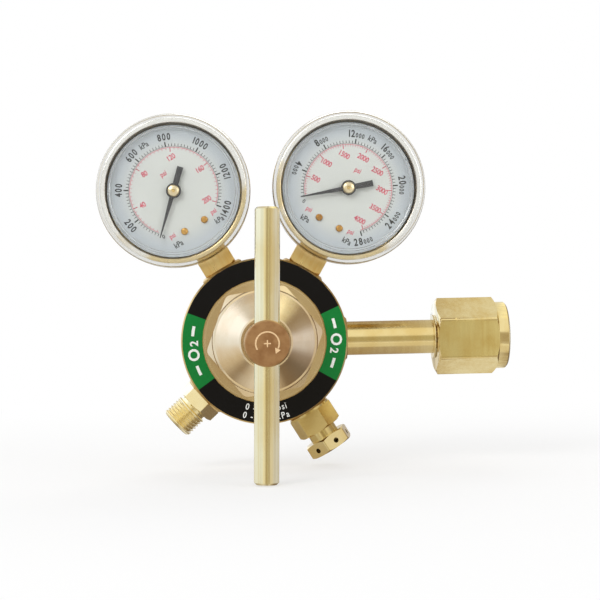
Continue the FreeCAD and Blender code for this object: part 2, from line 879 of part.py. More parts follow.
def cap_bore_floor():
    """How far ahead the floor of the cap's blind bore lies, behind the ports."""
    return s.cap_plug_length - s.cap_bore_depth - s.rear_boss_end


def make_return_spring():
    body = new_body("return_spring")
    coil(body, "coil", s.closing_spring_radius, s.closing_wire_radius, cap_bore_floor(),
         holder_back(), s.closing_turns)
    settle(body)


def make_back_cap():
    body = new_body("back_cap")
    plug = s.rear_thread_radius - s.seat_clearance
    plug_front = s.cap_plug_length - s.rear_boss_end
    collar_front = -s.rear_boss_end - s.cap_seal_thickness
    collar_back = collar_front - s.cap_collar
    end = collar_back - s.cap_hex
    turned(body, "plug", [
        (NOTHING, cap_bore_floor()),
        (s.cap_bore_radius, cap_bore_floor()),
        (s.cap_bore_radius, plug_front),
        (plug, plug_front),
        (plug, collar_front),
        (s.cap_collar_radius, collar_front),
        (s.cap_collar_radius, collar_back),
        (NOTHING, collar_back)])
    raised(body, "hexagon",
           lambda sketch: draw(sketch, hexagon(s.cap_flats, s.body_edge)),
           end, collar_back)
    chamfer_hexagon(body, "chamfer", s.cap_flats, end, 1, axis="screw")
    settle(body)


def make_back_cap_seal():
    body = new_body("back_cap_seal")
    inner = s.rear_thread_radius + s.seat_clearance
    turned(body, "washer", [
        (inner, -s.rear_boss_end),
        (s.cap_seal_radius, -s.rear_boss_end),
        (s.cap_seal_radius, -s.rear_boss_end - s.cap_seal_thickness),
        (inner, -s.rear_boss_end - s.cap_seal_thickness)])
    settle(body)


def nut_back():
    """Reach of the nut's rear end from the screw's axis."""
    return s.inlet_reach - s.nut_collar_length - s.nut_hex_length


def shoulder_reach():
    """Reach of the nipple's shoulder, just clear of the nut's inner wall."""
    return nut_back() + s.nut_wall + s.nut_play


def make_inlet_nipple():
    """Tube from the body to the nut, with a shoulder that the nut pulls on and a round
    nose."""
    body = new_body("inlet_nipple")
    root_end = s.port_face - s.port_depth + s.thread_root_gap
    shoulder = shoulder_reach()
    nose = shoulder + s.nose_shoulder
    tip = nose + s.nose_length
    filter_back = tip - s.filter_length
    turned(body, "tube", [
        (root_end, s.nipple_bore_radius),
        (root_end, s.port_thread_radius - s.seat_clearance * 2),
        (s.port_face, s.port_thread_radius - s.seat_clearance),
        (s.port_face, s.tube_radius),
        (shoulder, s.tube_radius),
        (shoulder, s.nose_shoulder_radius),
        (nose - s.body_edge, s.nose_shoulder_radius),
        (nose, s.tube_radius, -s.nose_round),
        (tip, s.nose_tip_radius),
        (tip, s.filter_radius + s.contact_gap),
        (filter_back, s.filter_radius + s.contact_gap),
        (filter_back, s.nipple_bore_radius)], axis="port")
    settle(body)


def make_inlet_filter():
    body = new_body("inlet_filter")
    tip = shoulder_reach() + s.nose_shoulder + s.nose_length
    turned(body, "plug", [
        (tip - s.filter_length, NOTHING),
        (tip - s.filter_length, s.filter_radius),
        (tip - s.filter_recess - s.filter_edge, s.filter_radius),
        (tip - s.filter_recess, s.filter_radius - s.filter_edge),
        (tip - s.filter_recess, NOTHING)], axis="port")
    settle(body)


def make_inlet_nut():
    """Cylinder nut: chamfered hexagon, a turned collar at each end, and a bore that is
    plain round the tube, relieved behind the thread and threaded at the mouth."""
    body = new_body("inlet_nut")
    hex_front = s.inlet_reach - s.nut_collar_length
    raised(body, "hexagon",
           lambda sketch: draw(sketch, hexagon(s.nut_flats, s.body_edge, NUT_TURN)),
           nut_back(), hex_front, role="YZ_Plane")
    chamfer_hexagon(body, "rear_chamfer", s.nut_flats, nut_back(), 1)
    chamfer_hexagon(body, "front_chamfer", s.nut_flats, hex_front, -1)
    turned(body, "front_collar", [
        (hex_front - s.nut_chamfer, NOTHING),
        (hex_front - s.nut_chamfer, s.nut_collar_radius),
        (s.inlet_reach - s.body_edge, s.nut_collar_radius),
        (s.inlet_reach, s.nut_collar_radius - s.body_edge),
        (s.inlet_reach, NOTHING)], axis="port")
    turned(body, "rear_collar", [
        (nut_back() - s.nut_rear_collar, NOTHING),
        (nut_back() - s.nut_rear_collar, s.nut_rear_collar_radius),
        (nut_back() + s.nut_chamfer, s.nut_rear_collar_radius),
        (nut_back() + s.nut_chamfer, NOTHING)], axis="port")
    plain = s.tube_radius + s.running_clearance
    wall_end = nut_back() + s.nut_wall
    thread_start = s.inlet_reach - s.nut_thread_length
    turned(body, "bore", [
        (nut_back() - s.nut_rear_collar, NOTHING),
        (nut_back() - s.nut_rear_collar, plain),
        (wall_end, plain),
        (wall_end, s.nut_relief_radius),
        (thread_start, s.nut_relief_radius),
        (thread_start, s.nut_thread_radius),
        (s.inlet_reach, s.nut_thread_radius),
        (s.inlet_reach, NOTHING)], cut=True, axis="port")
    settle(body)


def make_outlet_fitting():
    """Hose outlet: a thread in the body, a hexagon, a relieved neck and the hose thread
    with a cone seat in its mouth."""
    body = new_body("outlet_fitting")
    root_end = s.port_face - s.port_depth + s.thread_root_gap
    hex_end = s.port_face + s.outlet_hex
    thread_start = hex_end + s.outlet_neck
    end = thread_start + s.outlet_thread_length
    turned(body, "spigot", [
        (root_end, NOTHING),
        (root_end, s.port_thread_radius - s.seat_clearance * 2),
        (s.port_face, s.port_thread_radius - s.seat_clearance),
        (s.port_face + s.hex_chamfer, s.port_thread_radius - s.seat_clearance),
        (s.port_face + s.hex_chamfer, NOTHING)], axis="port")
    raised(body, "hexagon",
           lambda sketch: draw(sketch, hexagon(s.outlet_flats, s.hex_corner)),
           s.port_face, hex_end, role="YZ_Plane")
    chamfer_hexagon(body, "chamfer", s.outlet_flats, hex_end, -1)
    turned(body, "hose_thread", [
        (hex_end - s.hex_chamfer, NOTHING),
        (hex_end - s.hex_chamfer, s.outlet_neck_radius),
        (thread_start, s.outlet_neck_radius),
        (thread_start + s.hex_chamfer * 0.5, s.outlet_thread_radius),
        (end - s.hex_chamfer, s.outlet_thread_radius),
        (end, s.outlet_thread_radius - s.hex_chamfer),
        (end, NOTHING)], axis="port")
    turned(body, "bore", [
        (root_end, NOTHING),
        (root_end, s.outlet_bore_radius),
        (end - s.outlet_cone_depth, s.outlet_bore_radius),
        (end, s.outlet_cone_radius),
        (end, NOTHING)], cut=True, axis="port")
    settle(body, tilt=s.outlet_angle, roll=s.outlet_roll)


def make_relief_body():
    """Relief valve's body: flange, hexagon and neck, bored down to a small raised seat."""
    body = new_body("relief_body")
    root_end = s.port_face - s.port_depth + s.thread_root_gap
    flange_end = s.port_face + s.relief_flange
    hex_end = flange_end + s.relief_hex
    end = hex_end + s.relief_neck
    turned(body, "spigot", [
        (root_end, NOTHING),
        (root_end, s.port_thread_radius - s.seat_clearance * 2),
        (s.port_face, s.port_thread_radius - s.seat_clearance),
        (s.port_face, s.relief_flange_radius),
        (flange_end, s.relief_flange_radius),
        (flange_end, NOTHING)], axis="port")
    raised(body, "hexagon",
           lambda sketch: draw(sketch, hexagon(s.relief_flats, s.hex_corner)),
           flange_end, hex_end, role="YZ_Plane")
    chamfer_hexagon(body, "chamfer", s.relief_flats, hex_end, -1)
    turned(body, "neck", [
        (hex_end - s.hex_chamfer, NOTHING),
        (hex_end - s.hex_chamfer, s.relief_neck_radius),
        (end, s.relief_neck_radius),
        (end, NOTHING)], axis="port")
    seat_root = s.relief_seat - s.relief_seal_thickness
    turned(body, "bore", [
        (root_end, NOTHING),
        (root_end, s.relief_orifice_radius),
        (s.relief_seat, s.relief_orifice_radius),
        (s.relief_seat, s.relief_orifice_radius + s.relief_seat_land),
        (seat_root, s.relief_orifice_radius + s.relief_seat_land * 2),
        (seat_root, s.relief_bore_radius),
        (end, s.relief_bore_radius),
        (end, NOTHING)], cut=True, axis="port")
    settle(body, tilt=s.relief_angle, roll=s.relief_roll)


def relief_seal_end():
    return s.relief_seat + s.contact_gap + s.relief_seal_thickness


def make_relief_seal():
    body = new_body("relief_seal")
    turned(body, "disc", [
        (s.relief_seat + s.contact_gap, NOTHING),
        (s.relief_seat + s.contact_gap, s.relief_seal_radius),
        (relief_seal_end(), s.relief_seal_radius),
        (relief_seal_end(), NOTHING)], axis="port")
    settle(body, tilt=s.relief_angle)


def make_relief_poppet():
    body = new_body("relief_poppet")
    seal_end = relief_seal_end()
    lip = s.relief_seat + s.contact_gap + s.seal_proud
    back = seal_end + s.relief_poppet_length
    turned(body, "poppet", [
        (seal_end, NOTHING),
        (seal_end, s.relief_seal_radius),
        (lip, s.relief_seal_radius),
        (lip, s.relief_poppet_radius),
        (back, s.relief_poppet_radius),
        (back, s.relief_stem_radius),
        (back + s.relief_stem_length, s.relief_stem_radius),
        (back + s.relief_stem_length, NOTHING)], axis="port")
    settle(body, tilt=s.relief_angle)


def make_relief_spring():
    body = new_body("relief_spring")
    coil(body, "coil", s.relief_spring_radius, s.relief_wire_radius,
         relief_seal_end() + s.relief_poppet_length,
         s.relief_cap_front - s.relief_cap_wall, s.relief_turns, axis="port")
    settle(body, tilt=s.relief_angle)


def make_relief_cap():
    """Hexagonal cap with both ends chamfered, screwed on the neck, with a vent in each
    flat."""
    body = new_body("relief_cap")
    raised(body, "hexagon",
           lambda sketch: draw(sketch, hexagon(s.relief_cap_flats, s.body_edge,
                                               RELIEF_CAP_TURN)),
           s.relief_cap_back, s.relief_cap_front, role="YZ_Plane")
    chamfer_hexagon(body, "back_chamfer", s.relief_cap_flats, s.relief_cap_back, 1)
    chamfer_hexagon(body, "front_chamfer", s.relief_cap_flats, s.relief_cap_front, -1)
    neck_end = s.port_face + s.relief_flange + s.relief_hex + s.relief_neck
    turned(body, "bore", [
        (s.relief_cap_back, NOTHING),
        (s.relief_cap_back, s.relief_neck_radius + s.contact_gap),
        (neck_end + s.contact_gap, s.relief_neck_radius + s.contact_gap),
        (neck_end + s.contact_gap, s.relief_bore_radius),
        (s.relief_cap_front - s.relief_cap_wall, s.relief_bore_radius),
        (s.relief_cap_front - s.relief_cap_wall, NOTHING)], cut=True, axis="port")
    vent_reach = (neck_end + s.relief_cap_front - s.relief_cap_wall) * 0.5
    vent = raised(body, "vent",
                  lambda sketch: ring(sketch, vent_reach, NOTHING, s.relief_vent_radius),
                  NOTHING, s.relief_cap_flats, cut=True, role="XY_Plane")
    vents = body.newObject("PartDesign::PolarPattern", "vents")
    vents.Originals = [vent]
    vents.Axis = (vent.Profile[0], ["H_Axis"])
    vents.Angle = FULL_TURN
    vents.Occurrences = HEXAGON_SIDES
    body.Tip = vents
    settle(body, tilt=s.relief_angle, roll=s.relief_cap_roll)


class Gauge:
    """One dial gauge, drawn upright over its socket about the pointer's axis and set down
    at its port's angle."""

    def __init__(self, name, port_angle, zero, width, depth, wall):
        self.name = name
        self.port_angle = port_angle
        self.zero = zero
        self.width = width
        self.depth = depth
        self.wall = wall

    def body(self, name):
        return new_body("%s_%s" % (self.name, name))

    def place(self, body):
        settle(body, across=s.gauge_reach * cosine(self.port_angle),
               up=s.gauge_reach * sine(self.port_angle), tilt=self.port_angle - 90)

    def pivot(self):
        """Centre of the sector's pivot."""
        reach = s.gear_module * (s.pinion_teeth + s.sector_teeth) * 0.5
        return reach * cosine(s.pivot_angle), reach * sine(s.pivot_angle)

    def tail_end(self):
        """Centre of the link's pin in the sector's tail, at zero pressure."""
        across, up = self.pivot()
        half = s.sector_swing_angle * 0.5
        return across + s.tail_length * cosine(half), up - s.tail_length * sine(half)

    def tip_pin(self):
        """Centre of the pin on the tube's tip, midway in the link's side play."""
        across = self.pivot()[0]
        half = s.sector_swing_angle * 0.5
        side = s.tail_length * (1 + cosine(half)) * 0.5
        return across + side, self.tail_end()[1] + s.link_length

    def rim_radius(self):
        """Radius of the opening inside the case's front rim."""
        return s.case_radius - s.case_rim_width

    def case_screws(self):
        """Centres of the two screws that hold the case to the socket."""
        drop = s.case_radius - s.case_screw_inset
        return [(s.case_screw_spread, -drop), (-s.case_screw_spread, -drop)]

    def dial_screws(self):
        """Centres of the two screws that hold the dial."""
        side = s.dial_screw_reach * sine(s.dial_screw_angle)
        drop = s.dial_screw_reach * cosine(s.dial_screw_angle)
        return [(side, -drop), (-side, -drop)]

    def oval(self, grow):
        """The tube's flat oval section, grown by a distance, as (radius, ahead) corners."""
        half_depth = self.depth * 0.5 + grow
        half_width = self.width * 0.5 + grow
        flat = half_width - half_depth
        inner = s.bourdon_radius - half_depth
        outer = s.bourdon_radius + half_depth
        return [
            (outer, -flat),
            (outer, flat, half_depth),
            (s.bourdon_radius, half_width, half_depth),
            (inner, flat),
            (inner, -flat, half_depth),
            (s.bourdon_radius, -half_width, half_depth)]

    def swept_oval(self, body, name, grow, start, sweep, cut=False):
        """The oval section swept anticlockwise round the pointer's axis."""
        sketch = body.newObject("Sketcher::SketchObject", name + "_outline")
        plane = [f for f in body.Origin.OriginFeatures if f.Role == "XY_Plane"][0]
        sketch.AttachmentSupport = (plane, [""])
        sketch.MapMode = "FlatFace"
        sketch.setExpression("AttachmentOffset",
                             "placement(vector(0; 0; 0); rotation(vector(0; -1; 0); %s))"
                             % as_size(start).text)
        draw(sketch, [mirrored(corner) for corner in self.oval(grow)])
        feature = body.newObject("PartDesign::Groove" if cut else "PartDesign::Revolution",
                                 name)
        feature.Profile = sketch
        feature.ReferenceAxis = (sketch, ["V_Axis"])
        feature.Reversed = True
        bind(feature, "Angle", sweep)
        return feature

    def make_socket(self):
        """Square bar from the body's port up into the case, with a pipe thread below, two
        posts for the dial and a slot that holds the tube's root."""
        body = self.body("socket")
        half = s.socket_flats * 0.5
        foot = s.port_face - s.gauge_reach
        thread_end = foot - s.port_depth + s.thread_root_gap
        raised(body, "bar",
               lambda sketch: draw(sketch, [(-half, -half), (half, -half), (half, half),
                                            (-half, half)]),
               foot, -s.socket_top, role="XY_Plane")
        inner = s.socket_flats * HALF_DIAGONAL - s.socket_edge * 2
        outer = s.socket_flats * HALF_DIAGONAL + s.socket_edge
        top = foot - s.contact_gap
        turned(body, "foot_chamfer", [
            (inner, top),
            (outer, top),
            (outer, top + (outer - inner) * HEXAGON_SLOPE)], cut=True, axis="upright")
        turned(body, "thread", [
            (NOTHING, thread_end),
            (s.port_thread_radius - s.seat_clearance * 2, thread_end),
            (s.port_thread_radius - s.seat_clearance, foot),
            (s.port_thread_radius - s.seat_clearance, foot + s.socket_edge),
            (NOTHING, foot + s.socket_edge)], axis="upright")
        back = s.dial_ahead - s.dial_thickness
        raised(body, "posts",
               lambda sketch: [ring(sketch, across, up, s.dial_post_radius)
                               for across, up in self.dial_screws()], half, back)
        raised(body, "post_holes",
               lambda sketch: [ring(sketch, across, up, s.dial_screw_radius + s.contact_gap)
                               for across, up in self.dial_screws()],
               s.dial_ahead - s.dial_screw_length - s.contact_gap * 2, back, cut=True)
        raised(body, "case_screw_holes",
               lambda sketch: [ring(sketch, side, up, s.case_screw_radius + s.contact_gap)
                               for side, up in self.case_screws()],
               -half, s.case_screw_length - half, cut=True)
        turned(body, "bore", [
            (NOTHING, thread_end),
            (s.socket_bore_radius, thread_end),
            (s.socket_bore_radius, -s.bourdon_radius),
            (NOTHING, -s.bourdon_radius)], cut=True, axis="upright")
        self.swept_oval(body, "tube_slot", s.contact_gap,
                        s.bourdon_start_angle - s.tube_slot_angle, s.tube_slot_angle, cut=True)
        self.place(body)

    def make_bourdon_tube(self):
        body = self.body("bourdon_tube")
        sweep = s.bourdon_start_angle - s.bourdon_tip_angle
        self.swept_oval(body, "tube", NOTHING, s.bourdon_tip_angle, sweep)
        self.swept_oval(body, "hollow", -self.wall, s.bourdon_tip_angle, sweep, cut=True)
        self.place(body)

    def make_tube_tip(self):
        """Cap on the tube's free end with a lug and a pin for the link."""
        body = self.body("tube_tip")
        self.swept_oval(body, "cap", s.tip_wall, s.bourdon_tip_angle - s.tip_sweep_angle, s.tip_sweep_angle)
        across, up = self.tip_pin()
        middle = s.bourdon_tip_angle - s.tip_sweep_angle * 0.5
        front = s.sector_ahead + s.sector_thickness
        centres = [(s.bourdon_radius * cosine(middle), s.bourdon_radius * sine(middle)),
                   (across, up)]
        raised(body, "lug", lambda sketch: band(sketch, centres, s.tip_lug_radius),
               self.width * 0.5 + s.contact_gap, front)
        raised(body, "pin", lambda sketch: ring(sketch, across, up, s.pin_radius),
               front, front + s.link_gap + s.link_thickness + s.pin_radius)
        self.place(body)

    def make_case(self):
        """Deep cup with a thick front rim and a square hole for the socket."""
        body = self.body("case")
        inner_back = s.socket_flats * 0.5
        back = inner_back + s.case_wall
        inner = s.case_radius - s.case_side_wall
        turned(body, "cup", [
            (NOTHING, -back),
            (s.case_radius - s.case_back_round, -back, s.case_back_round),
            (s.case_radius, s.case_back_round - back),
            (s.case_radius, s.case_front),
            (self.rim_radius(), s.case_front),
            (self.rim_radius(), s.case_front - s.case_rim_depth),
            (inner, s.case_front - s.case_rim_depth - s.case_side_wall),
            (inner, s.case_back_round - back, -(s.case_back_round - s.case_side_wall)),
            (s.case_radius - s.case_back_round, -inner_back),
            (NOTHING, -inner_back)])
        half = s.socket_flats * 0.5 + s.seat_clearance
        raised(body, "socket_hole",
               lambda sketch: draw(sketch, [(-half, -half), (half, -half), (half, inner_back),
                                            (-half, inner_back)]),
               -s.case_radius - s.case_wall, s.case_back_round * 2 - s.case_radius, cut=True,
               role="XY_Plane")
        raised(body, "screw_holes",
               lambda sketch: [ring(sketch, side, up, s.case_screw_radius + s.contact_gap)
                               for side, up in self.case_screws()],
               -back, -inner_back, cut=True)
        self.place(body)

    def make_case_screws(self):
        body = self.body("case_screws")
        back = -s.socket_flats * 0.5 - s.case_wall
        raised(body, "heads",
               lambda sketch: [ring(sketch, side, up, s.case_screw_head_radius)
                               for side, up in self.case_screws()],
               back - s.case_screw_head, back)
        raised(body, "shanks",
               lambda sketch: [ring(sketch, side, up, s.case_screw_radius)
                               for side, up in self.case_screws()],
               back, back + s.case_wall + s.case_screw_length - s.contact_gap)
        self.place(body)

    def make_lens(self):
        """Clear lens with a skirt outside the case and a low ring inside it."""
        body = self.body("lens")
        under = s.lens_front - s.lens_thickness
        skirt = s.case_radius + s.seat_clearance
        outer = skirt + s.lens_skirt
        step_outer = self.rim_radius() - s.lens_step_inset
        step_inner = step_outer - s.lens_step_width
        turned(body, "lens", [
            (NOTHING, under),
            (step_inner, under),
            (step_inner, under - s.lens_step_depth),
            (step_outer, under - s.lens_step_depth),
            (step_outer, under),
            (skirt, under),
            (skirt, s.lens_skirt_end),
            (outer, s.lens_skirt_end),
            (outer, s.lens_front - s.lens_edge),
            (outer - s.lens_edge, s.lens_front),
            (NOTHING, s.lens_front)])
        self.place(body)

    def make_dial(self):
        body = self.body("dial")

        def plan(sketch):
            ring(sketch, NOTHING, NOTHING, self.rim_radius() - s.dial_gap)
            ring(sketch, NOTHING, NOTHING, s.dial_hole_radius)
            for across, up in self.dial_screws():
                ring(sketch, across, up, s.dial_screw_radius + s.seat_clearance)

        raised(body, "disc", plan, s.dial_ahead - s.dial_thickness, s.dial_ahead)
        self.place(body)

    def make_dial_screws(self):
        body = self.body("dial_screws")
        raised(body, "heads",
               lambda sketch: [ring(sketch, across, up, s.dial_screw_head_radius)
                               for across, up in self.dial_screws()],
               s.dial_ahead, s.dial_ahead + s.dial_screw_head)
        raised(body, "shanks",
               lambda sketch: [ring(sketch, across, up, s.dial_screw_radius)
                               for across, up in self.dial_screws()],
               s.dial_ahead - s.dial_screw_length, s.dial_ahead)
        self.place(body)

    def make_pointer(self):
        """Tapered pointer with a wider tail and a round boss, at zero pressure."""
        body = self.body("pointer")
        sides = [(-s.pointer_tail, s.pointer_tail_width), (NOTHING, s.pointer_root_width),
                 (s.pointer_length, s.pointer_tip_width)]
        outline = [(along, -width * 0.5) for along, width in sides]
        outline += [(along, width * 0.5) for along, width in reversed(sides)]
        turn = 270 - self.zero
        raised(body, "needle", lambda sketch: draw(sketch, outline),
               s.pointer_ahead, s.pointer_ahead + s.pointer_thickness, turn=turn)
        raised(body, "boss",
               lambda sketch: ring(sketch, NOTHING, NOTHING, s.pointer_boss_radius),
               s.pointer_ahead, s.pointer_ahead + s.pointer_boss)
        raised(body, "hole",
               lambda sketch: ring(sketch, NOTHING, NOTHING, s.pointer_hub_radius),
               s.pointer_ahead, s.pointer_ahead + s.pointer_boss, cut=True)
        self.place(body)

    def make_pointer_hub(self):
        body = self.body("pointer_hub")
        back = s.pointer_ahead - s.hub_dimple
        front = back + s.pointer_hub
        bore = s.pinion_pivot_radius
        turned(body, "hub", [
            (bore, back),
            (s.pointer_hub_radius, back),
            (s.pointer_hub_radius, front - s.hub_dimple),
            (s.pointer_hub_radius - s.hub_dimple, front),
            (s.hub_dimple_radius, front),
            (bore, front - s.hub_dimple)])
        self.place(body)

    def movement_back(self):
        """How far ahead the movement's back plate starts, on the socket's front."""
        return s.socket_flats * 0.5

    def movement_posts(self):
        return [(s.left_post_across, s.left_post_up), (s.lower_post_across, s.lower_post_up),
                (s.right_post_across, s.right_post_up)]

    def plate_holes(self, sketch):
        """Pivot holes of the pinion and the sector."""
        pivot_radius = s.pinion_pivot_radius + s.pin_clearance
        across, up = self.pivot()
        ring(sketch, NOTHING, NOTHING, pivot_radius)
        ring(sketch, across, up, pivot_radius)

    def post_holes(self, sketch):
        """Room for the dial's posts."""
        for across, up in self.dial_screws():
            ring(sketch, across, up, s.dial_post_radius + s.contact_gap)

    def make_movement_plates(self):
        back = self.movement_back()
        plate = self.body("movement_back_plate")
        raised(plate, "plate",
               lambda sketch: band(sketch, self.movement_posts(), s.movement_margin),
               back, back + s.movement_plate)
        half = s.socket_flats * 0.5 - s.socket_edge
        top = s.lower_post_up
        foot = s.case_screw_inset - s.case_radius
        raised(plate, "tab",
               lambda sketch: draw(sketch, [(-half, foot), (half, foot), (half, top),
                                            (-half, top)]),
               back, back + s.movement_plate)
        raised(plate, "holes", self.plate_holes, back, back + s.movement_plate, cut=True)
        raised(plate, "post_holes", self.post_holes, back, back + s.movement_plate, cut=True)
        self.place(plate)
        front = back + s.movement_plate + s.plate_gap
        cover = self.body("movement_front_plate")
        raised(cover, "plate",
               lambda sketch: band(sketch, self.movement_posts(), s.movement_margin),
               front, front + s.movement_plate)
        raised(cover, "holes", self.plate_holes, front, front + s.movement_plate, cut=True)
        raised(cover, "post_notches", self.post_holes, front, front + s.movement_plate,
               cut=True)
        self.place(cover)
        posts = self.body("movement_posts")
        raised(posts, "posts",
               lambda sketch: [ring(sketch, across, up, s.post_radius)
                               for across, up in self.movement_posts()],
               back + s.movement_plate, front)
        self.place(posts)

    def shaft(self, front):
        """A pivot from just behind the back plate's face to a height ahead."""
        back = self.movement_back().value + s.contact_gap.value
        return Part.makeCylinder(s.pinion_pivot_radius.value, front - back,
                                 FreeCAD.Vector(0, 0, back))

    def add_flat(self, name, shape):
        """A piece made flat, its heights along its own Z, stood up in the gauge."""
        piece = doc.addObject("Part::Feature", "%s_%s" % (self.name, name))
        piece.Label = "%s_%s" % (self.name, name)
        piece.Shape = shape
        across = s.gauge_reach * cosine(self.port_angle) - s.inlet_reach
        up = s.gauge_reach * sine(self.port_angle)
        upright = placement_text(across, NOTHING, up, self.port_angle - 90)
        stand = "placement(vector(0; 0; 0); rotation(vector(1; 0; 0); 90))"
        piece.setExpression("Placement", "%s * %s" % (upright, stand))
        SUBPARTS.append(piece)

    def make_pinion(self):
        """Pinion and arbor; a gap between two teeth faces the sector at zero."""
        middle = s.sector_ahead.value + s.sector_thickness.value * 0.5
        width = s.pinion_width.value
        face = gear_face(s.gear_module.value, s.pinion_teeth.value, 0.0)
        half_pitch = 180.0 / s.pinion_teeth.value
        upright = FreeCAD.Vector(0, 0, 1)
        face.rotate(FreeCAD.Vector(), upright, s.pivot_angle.value + half_pitch)
        face.translate(FreeCAD.Vector(0, 0, middle - width * 0.5))
        teeth = face.extrude(FreeCAD.Vector(0, 0, width))
        tip = s.pointer_ahead.value + s.pointer_boss.value
        self.add_flat("pinion", teeth.fuse(self.shaft(tip)).removeSplitter())

    def make_sector(self):
        """Toothed sector with its arbor, hub and tail, at zero pressure."""
        across, up = [size.value for size in self.pivot()]
        upright = FreeCAD.Vector(0, 0, 1)
        pitch = 360.0 / s.sector_teeth.value
        towards = s.pivot_angle.value + 180.0
        swing = s.sector_swing_angle.value
        face = gear_face(s.gear_module.value, s.sector_teeth.value, s.sector_shift.value)
        face.rotate(FreeCAD.Vector(), upright, towards)
        reach = s.gear_module.value * s.sector_teeth.value
        spare = SPARE_TEETH * pitch
        slice_edge = Part.makeCircle(reach, FreeCAD.Vector(), upright,
                                     towards - swing - spare, towards + spare)
        ends = [vertex.Point for vertex in slice_edge.Vertexes]
        slice_face = Part.Face(Part.Wire([Part.makeLine(FreeCAD.Vector(), ends[0]), slice_edge,
                                          Part.makeLine(ends[1], FreeCAD.Vector())]))
        toothed = face.common(slice_face)
        height = FreeCAD.Vector(0, 0, s.sector_thickness.value)
        teeth = toothed.extrude(height)
        hub = Part.makeCylinder(s.sector_hub_radius.value, s.sector_thickness.value)
        tail_angle = -swing * 0.5
        tail_tip = s.tail_length.value
        width = s.tail_radius.value
        tail = Part.makeBox(tail_tip, 2 * width, s.sector_thickness.value,
                            FreeCAD.Vector(0, -width, 0))
        eye = Part.makeCylinder(width, s.sector_thickness.value, FreeCAD.Vector(tail_tip, 0, 0))
        hole = Part.makeCylinder(s.pin_radius.value + s.pin_clearance.value,
                                 s.sector_thickness.value, FreeCAD.Vector(tail_tip, 0, 0))
        arm = tail.fuse(eye).cut(hole)
        arm.rotate(FreeCAD.Vector(), upright, tail_angle)
        sector = teeth.fuse([hub, arm])
        sector.translate(FreeCAD.Vector(0, 0, s.sector_ahead.value))
        front = self.movement_back() + s.movement_plate * 2 + s.plate_gap - s.contact_gap
        sector = sector.fuse(self.shaft(front.value)).removeSplitter()
        sector.translate(FreeCAD.Vector(across, up, 0))
        self.add_flat("sector", Part.Compound(sector.Solids))

    def make_link(self):
        """Link from the sector's tail up to the pin on the tube's tip."""
        body = self.body("link")
        across, up = self.tail_end()
        back = s.sector_ahead + s.sector_thickness + s.link_gap
        front = back + s.link_thickness
        centres = [(across, up), (across, up + s.link_length)]
        raised(body, "strip", lambda sketch: band(sketch, centres, s.link_radius), back, front)
        raised(body, "rivet", lambda sketch: ring(sketch, across, up, s.pin_radius),
               s.sector_ahead - s.link_gap, back)
        raised(body, "eye",
               lambda sketch: ring(sketch, across, up + s.link_length,
                                   s.pin_radius + s.open_pin_clearance),
               back, front, cut=True)
        self.place(body)

    def make_hairspring(self):
        """Flat spiral that takes up the play of the teeth, behind the pinion."""
        body = self.body("hairspring")
        sketch = new_sketch(body, "XY_Plane", "strip")
        back = self.movement_back() + s.movement_plate + s.link_gap
        inner = s.hairspring_inner
        outer = s.hairspring_inner + s.hairspring_strip
        draw(sketch, [(inner, -back), (inner, -back - s.hairspring_width),
                      (outer, -back - s.hairspring_width), (outer, -back)])
        spiral = body.newObject("PartDesign::AdditiveHelix", "spiral")
        spiral.Profile = sketch
        spiral.ReferenceAxis = (sketch, ["V_Axis"])
        spiral.Mode = "height-turns-growth"
        spiral.Height = 0
        bind(spiral, "Turns", s.hairspring_turns)
        bind(spiral, "Growth", s.hairspring_pitch)
        self.place(body)

    def make(self):
        self.make_socket()
        self.make_bourdon_tube()
        self.make_tube_tip()
        self.make_case()
        self.make_case_screws()
        self.make_lens()
        self.make_dial()
        self.make_dial_screws()
        self.make_pointer()
        self.make_pointer_hub()
        self.make_movement_plates()
        self.make_pinion()
        self.make_sector()
        self.make_link()
        self.make_hairspring()


def gear_face(module, teeth, shift):
    """Face of an external gear of involute teeth, one of them centred on +X."""
    builder = fcgear.FCWireBuilder()
    involute.CreateExternalGear(builder, module, int(teeth), PRESSURE_ANGLE, True,
                                ADDENDUM, DEDENDUM, ROOT_FILLET, shift)
    return Part.Face(Part.Wire([edge.toShape() for edge in builder.wire]))


def make_all():
    make_body()
    make_label_ring()
    make_bonnet()
    make_adjusting_screw()
    make_t_bar()
    make_spring_button()
    make_adjusting_spring()
    make_slip_ring()
    make_diaphragm()
    make_diaphragm_plate()
    make_nozzle()
    make_valve_stem()
    make_seat_disc()
    make_seat_holder()
    make_return_spring()
    make_back_cap()
    make_back_cap_seal()
    make_inlet_nipple()
    make_inlet_filter()
    make_inlet_nut()
    make_outlet_fitting()
    make_relief_body()
    make_relief_seal()
    make_relief_poppet()
    make_relief_spring()
    make_relief_cap()
    Gauge("low_gauge", s.low_gauge_angle, s.low_zero_angle, s.low_bourdon_width,
          s.low_bourdon_depth, s.low_bourdon_wall).make()
    Gauge("high_gauge", s.high_gauge_angle, s.high_zero_angle, s.high_bourdon_width,
          s.high_bourdon_depth, s.high_bourdon_wall).make()


def check_all():
    """Stop where any object failed to rebuild or a piece is missing or unsound."""
    for thing in doc.Objects:
        if "Invalid" in thing.State or "Error" in thing.State:
            raise RuntimeError("%s did not rebuild" % thing.Label)
    for piece in SUBPARTS:
        if piece.Shape.isNull() or not piece.Shape.isValid():
            raise RuntimeError("%s has no sound shape" % piece.Label)


def export_all():
    os.makedirs("parts", exist_ok=True)
    for piece in SUBPARTS:
        piece.Shape.exportStep("parts/%s.step" % piece.Label)


make_all()
doc.recompute()
check_all()
export_all()
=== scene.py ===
"""Looks of a brass gas regulator round its solids.

Lengths are in metres in the row's own frame: the origin is the mouth of the cylinder nut,
+X runs out of it, +Z is up and the front faces -Y. A reach is counted from the crossing of
the adjusting screw's axis and the plane of the ports, and "ahead" is towards the front.
"""

import math

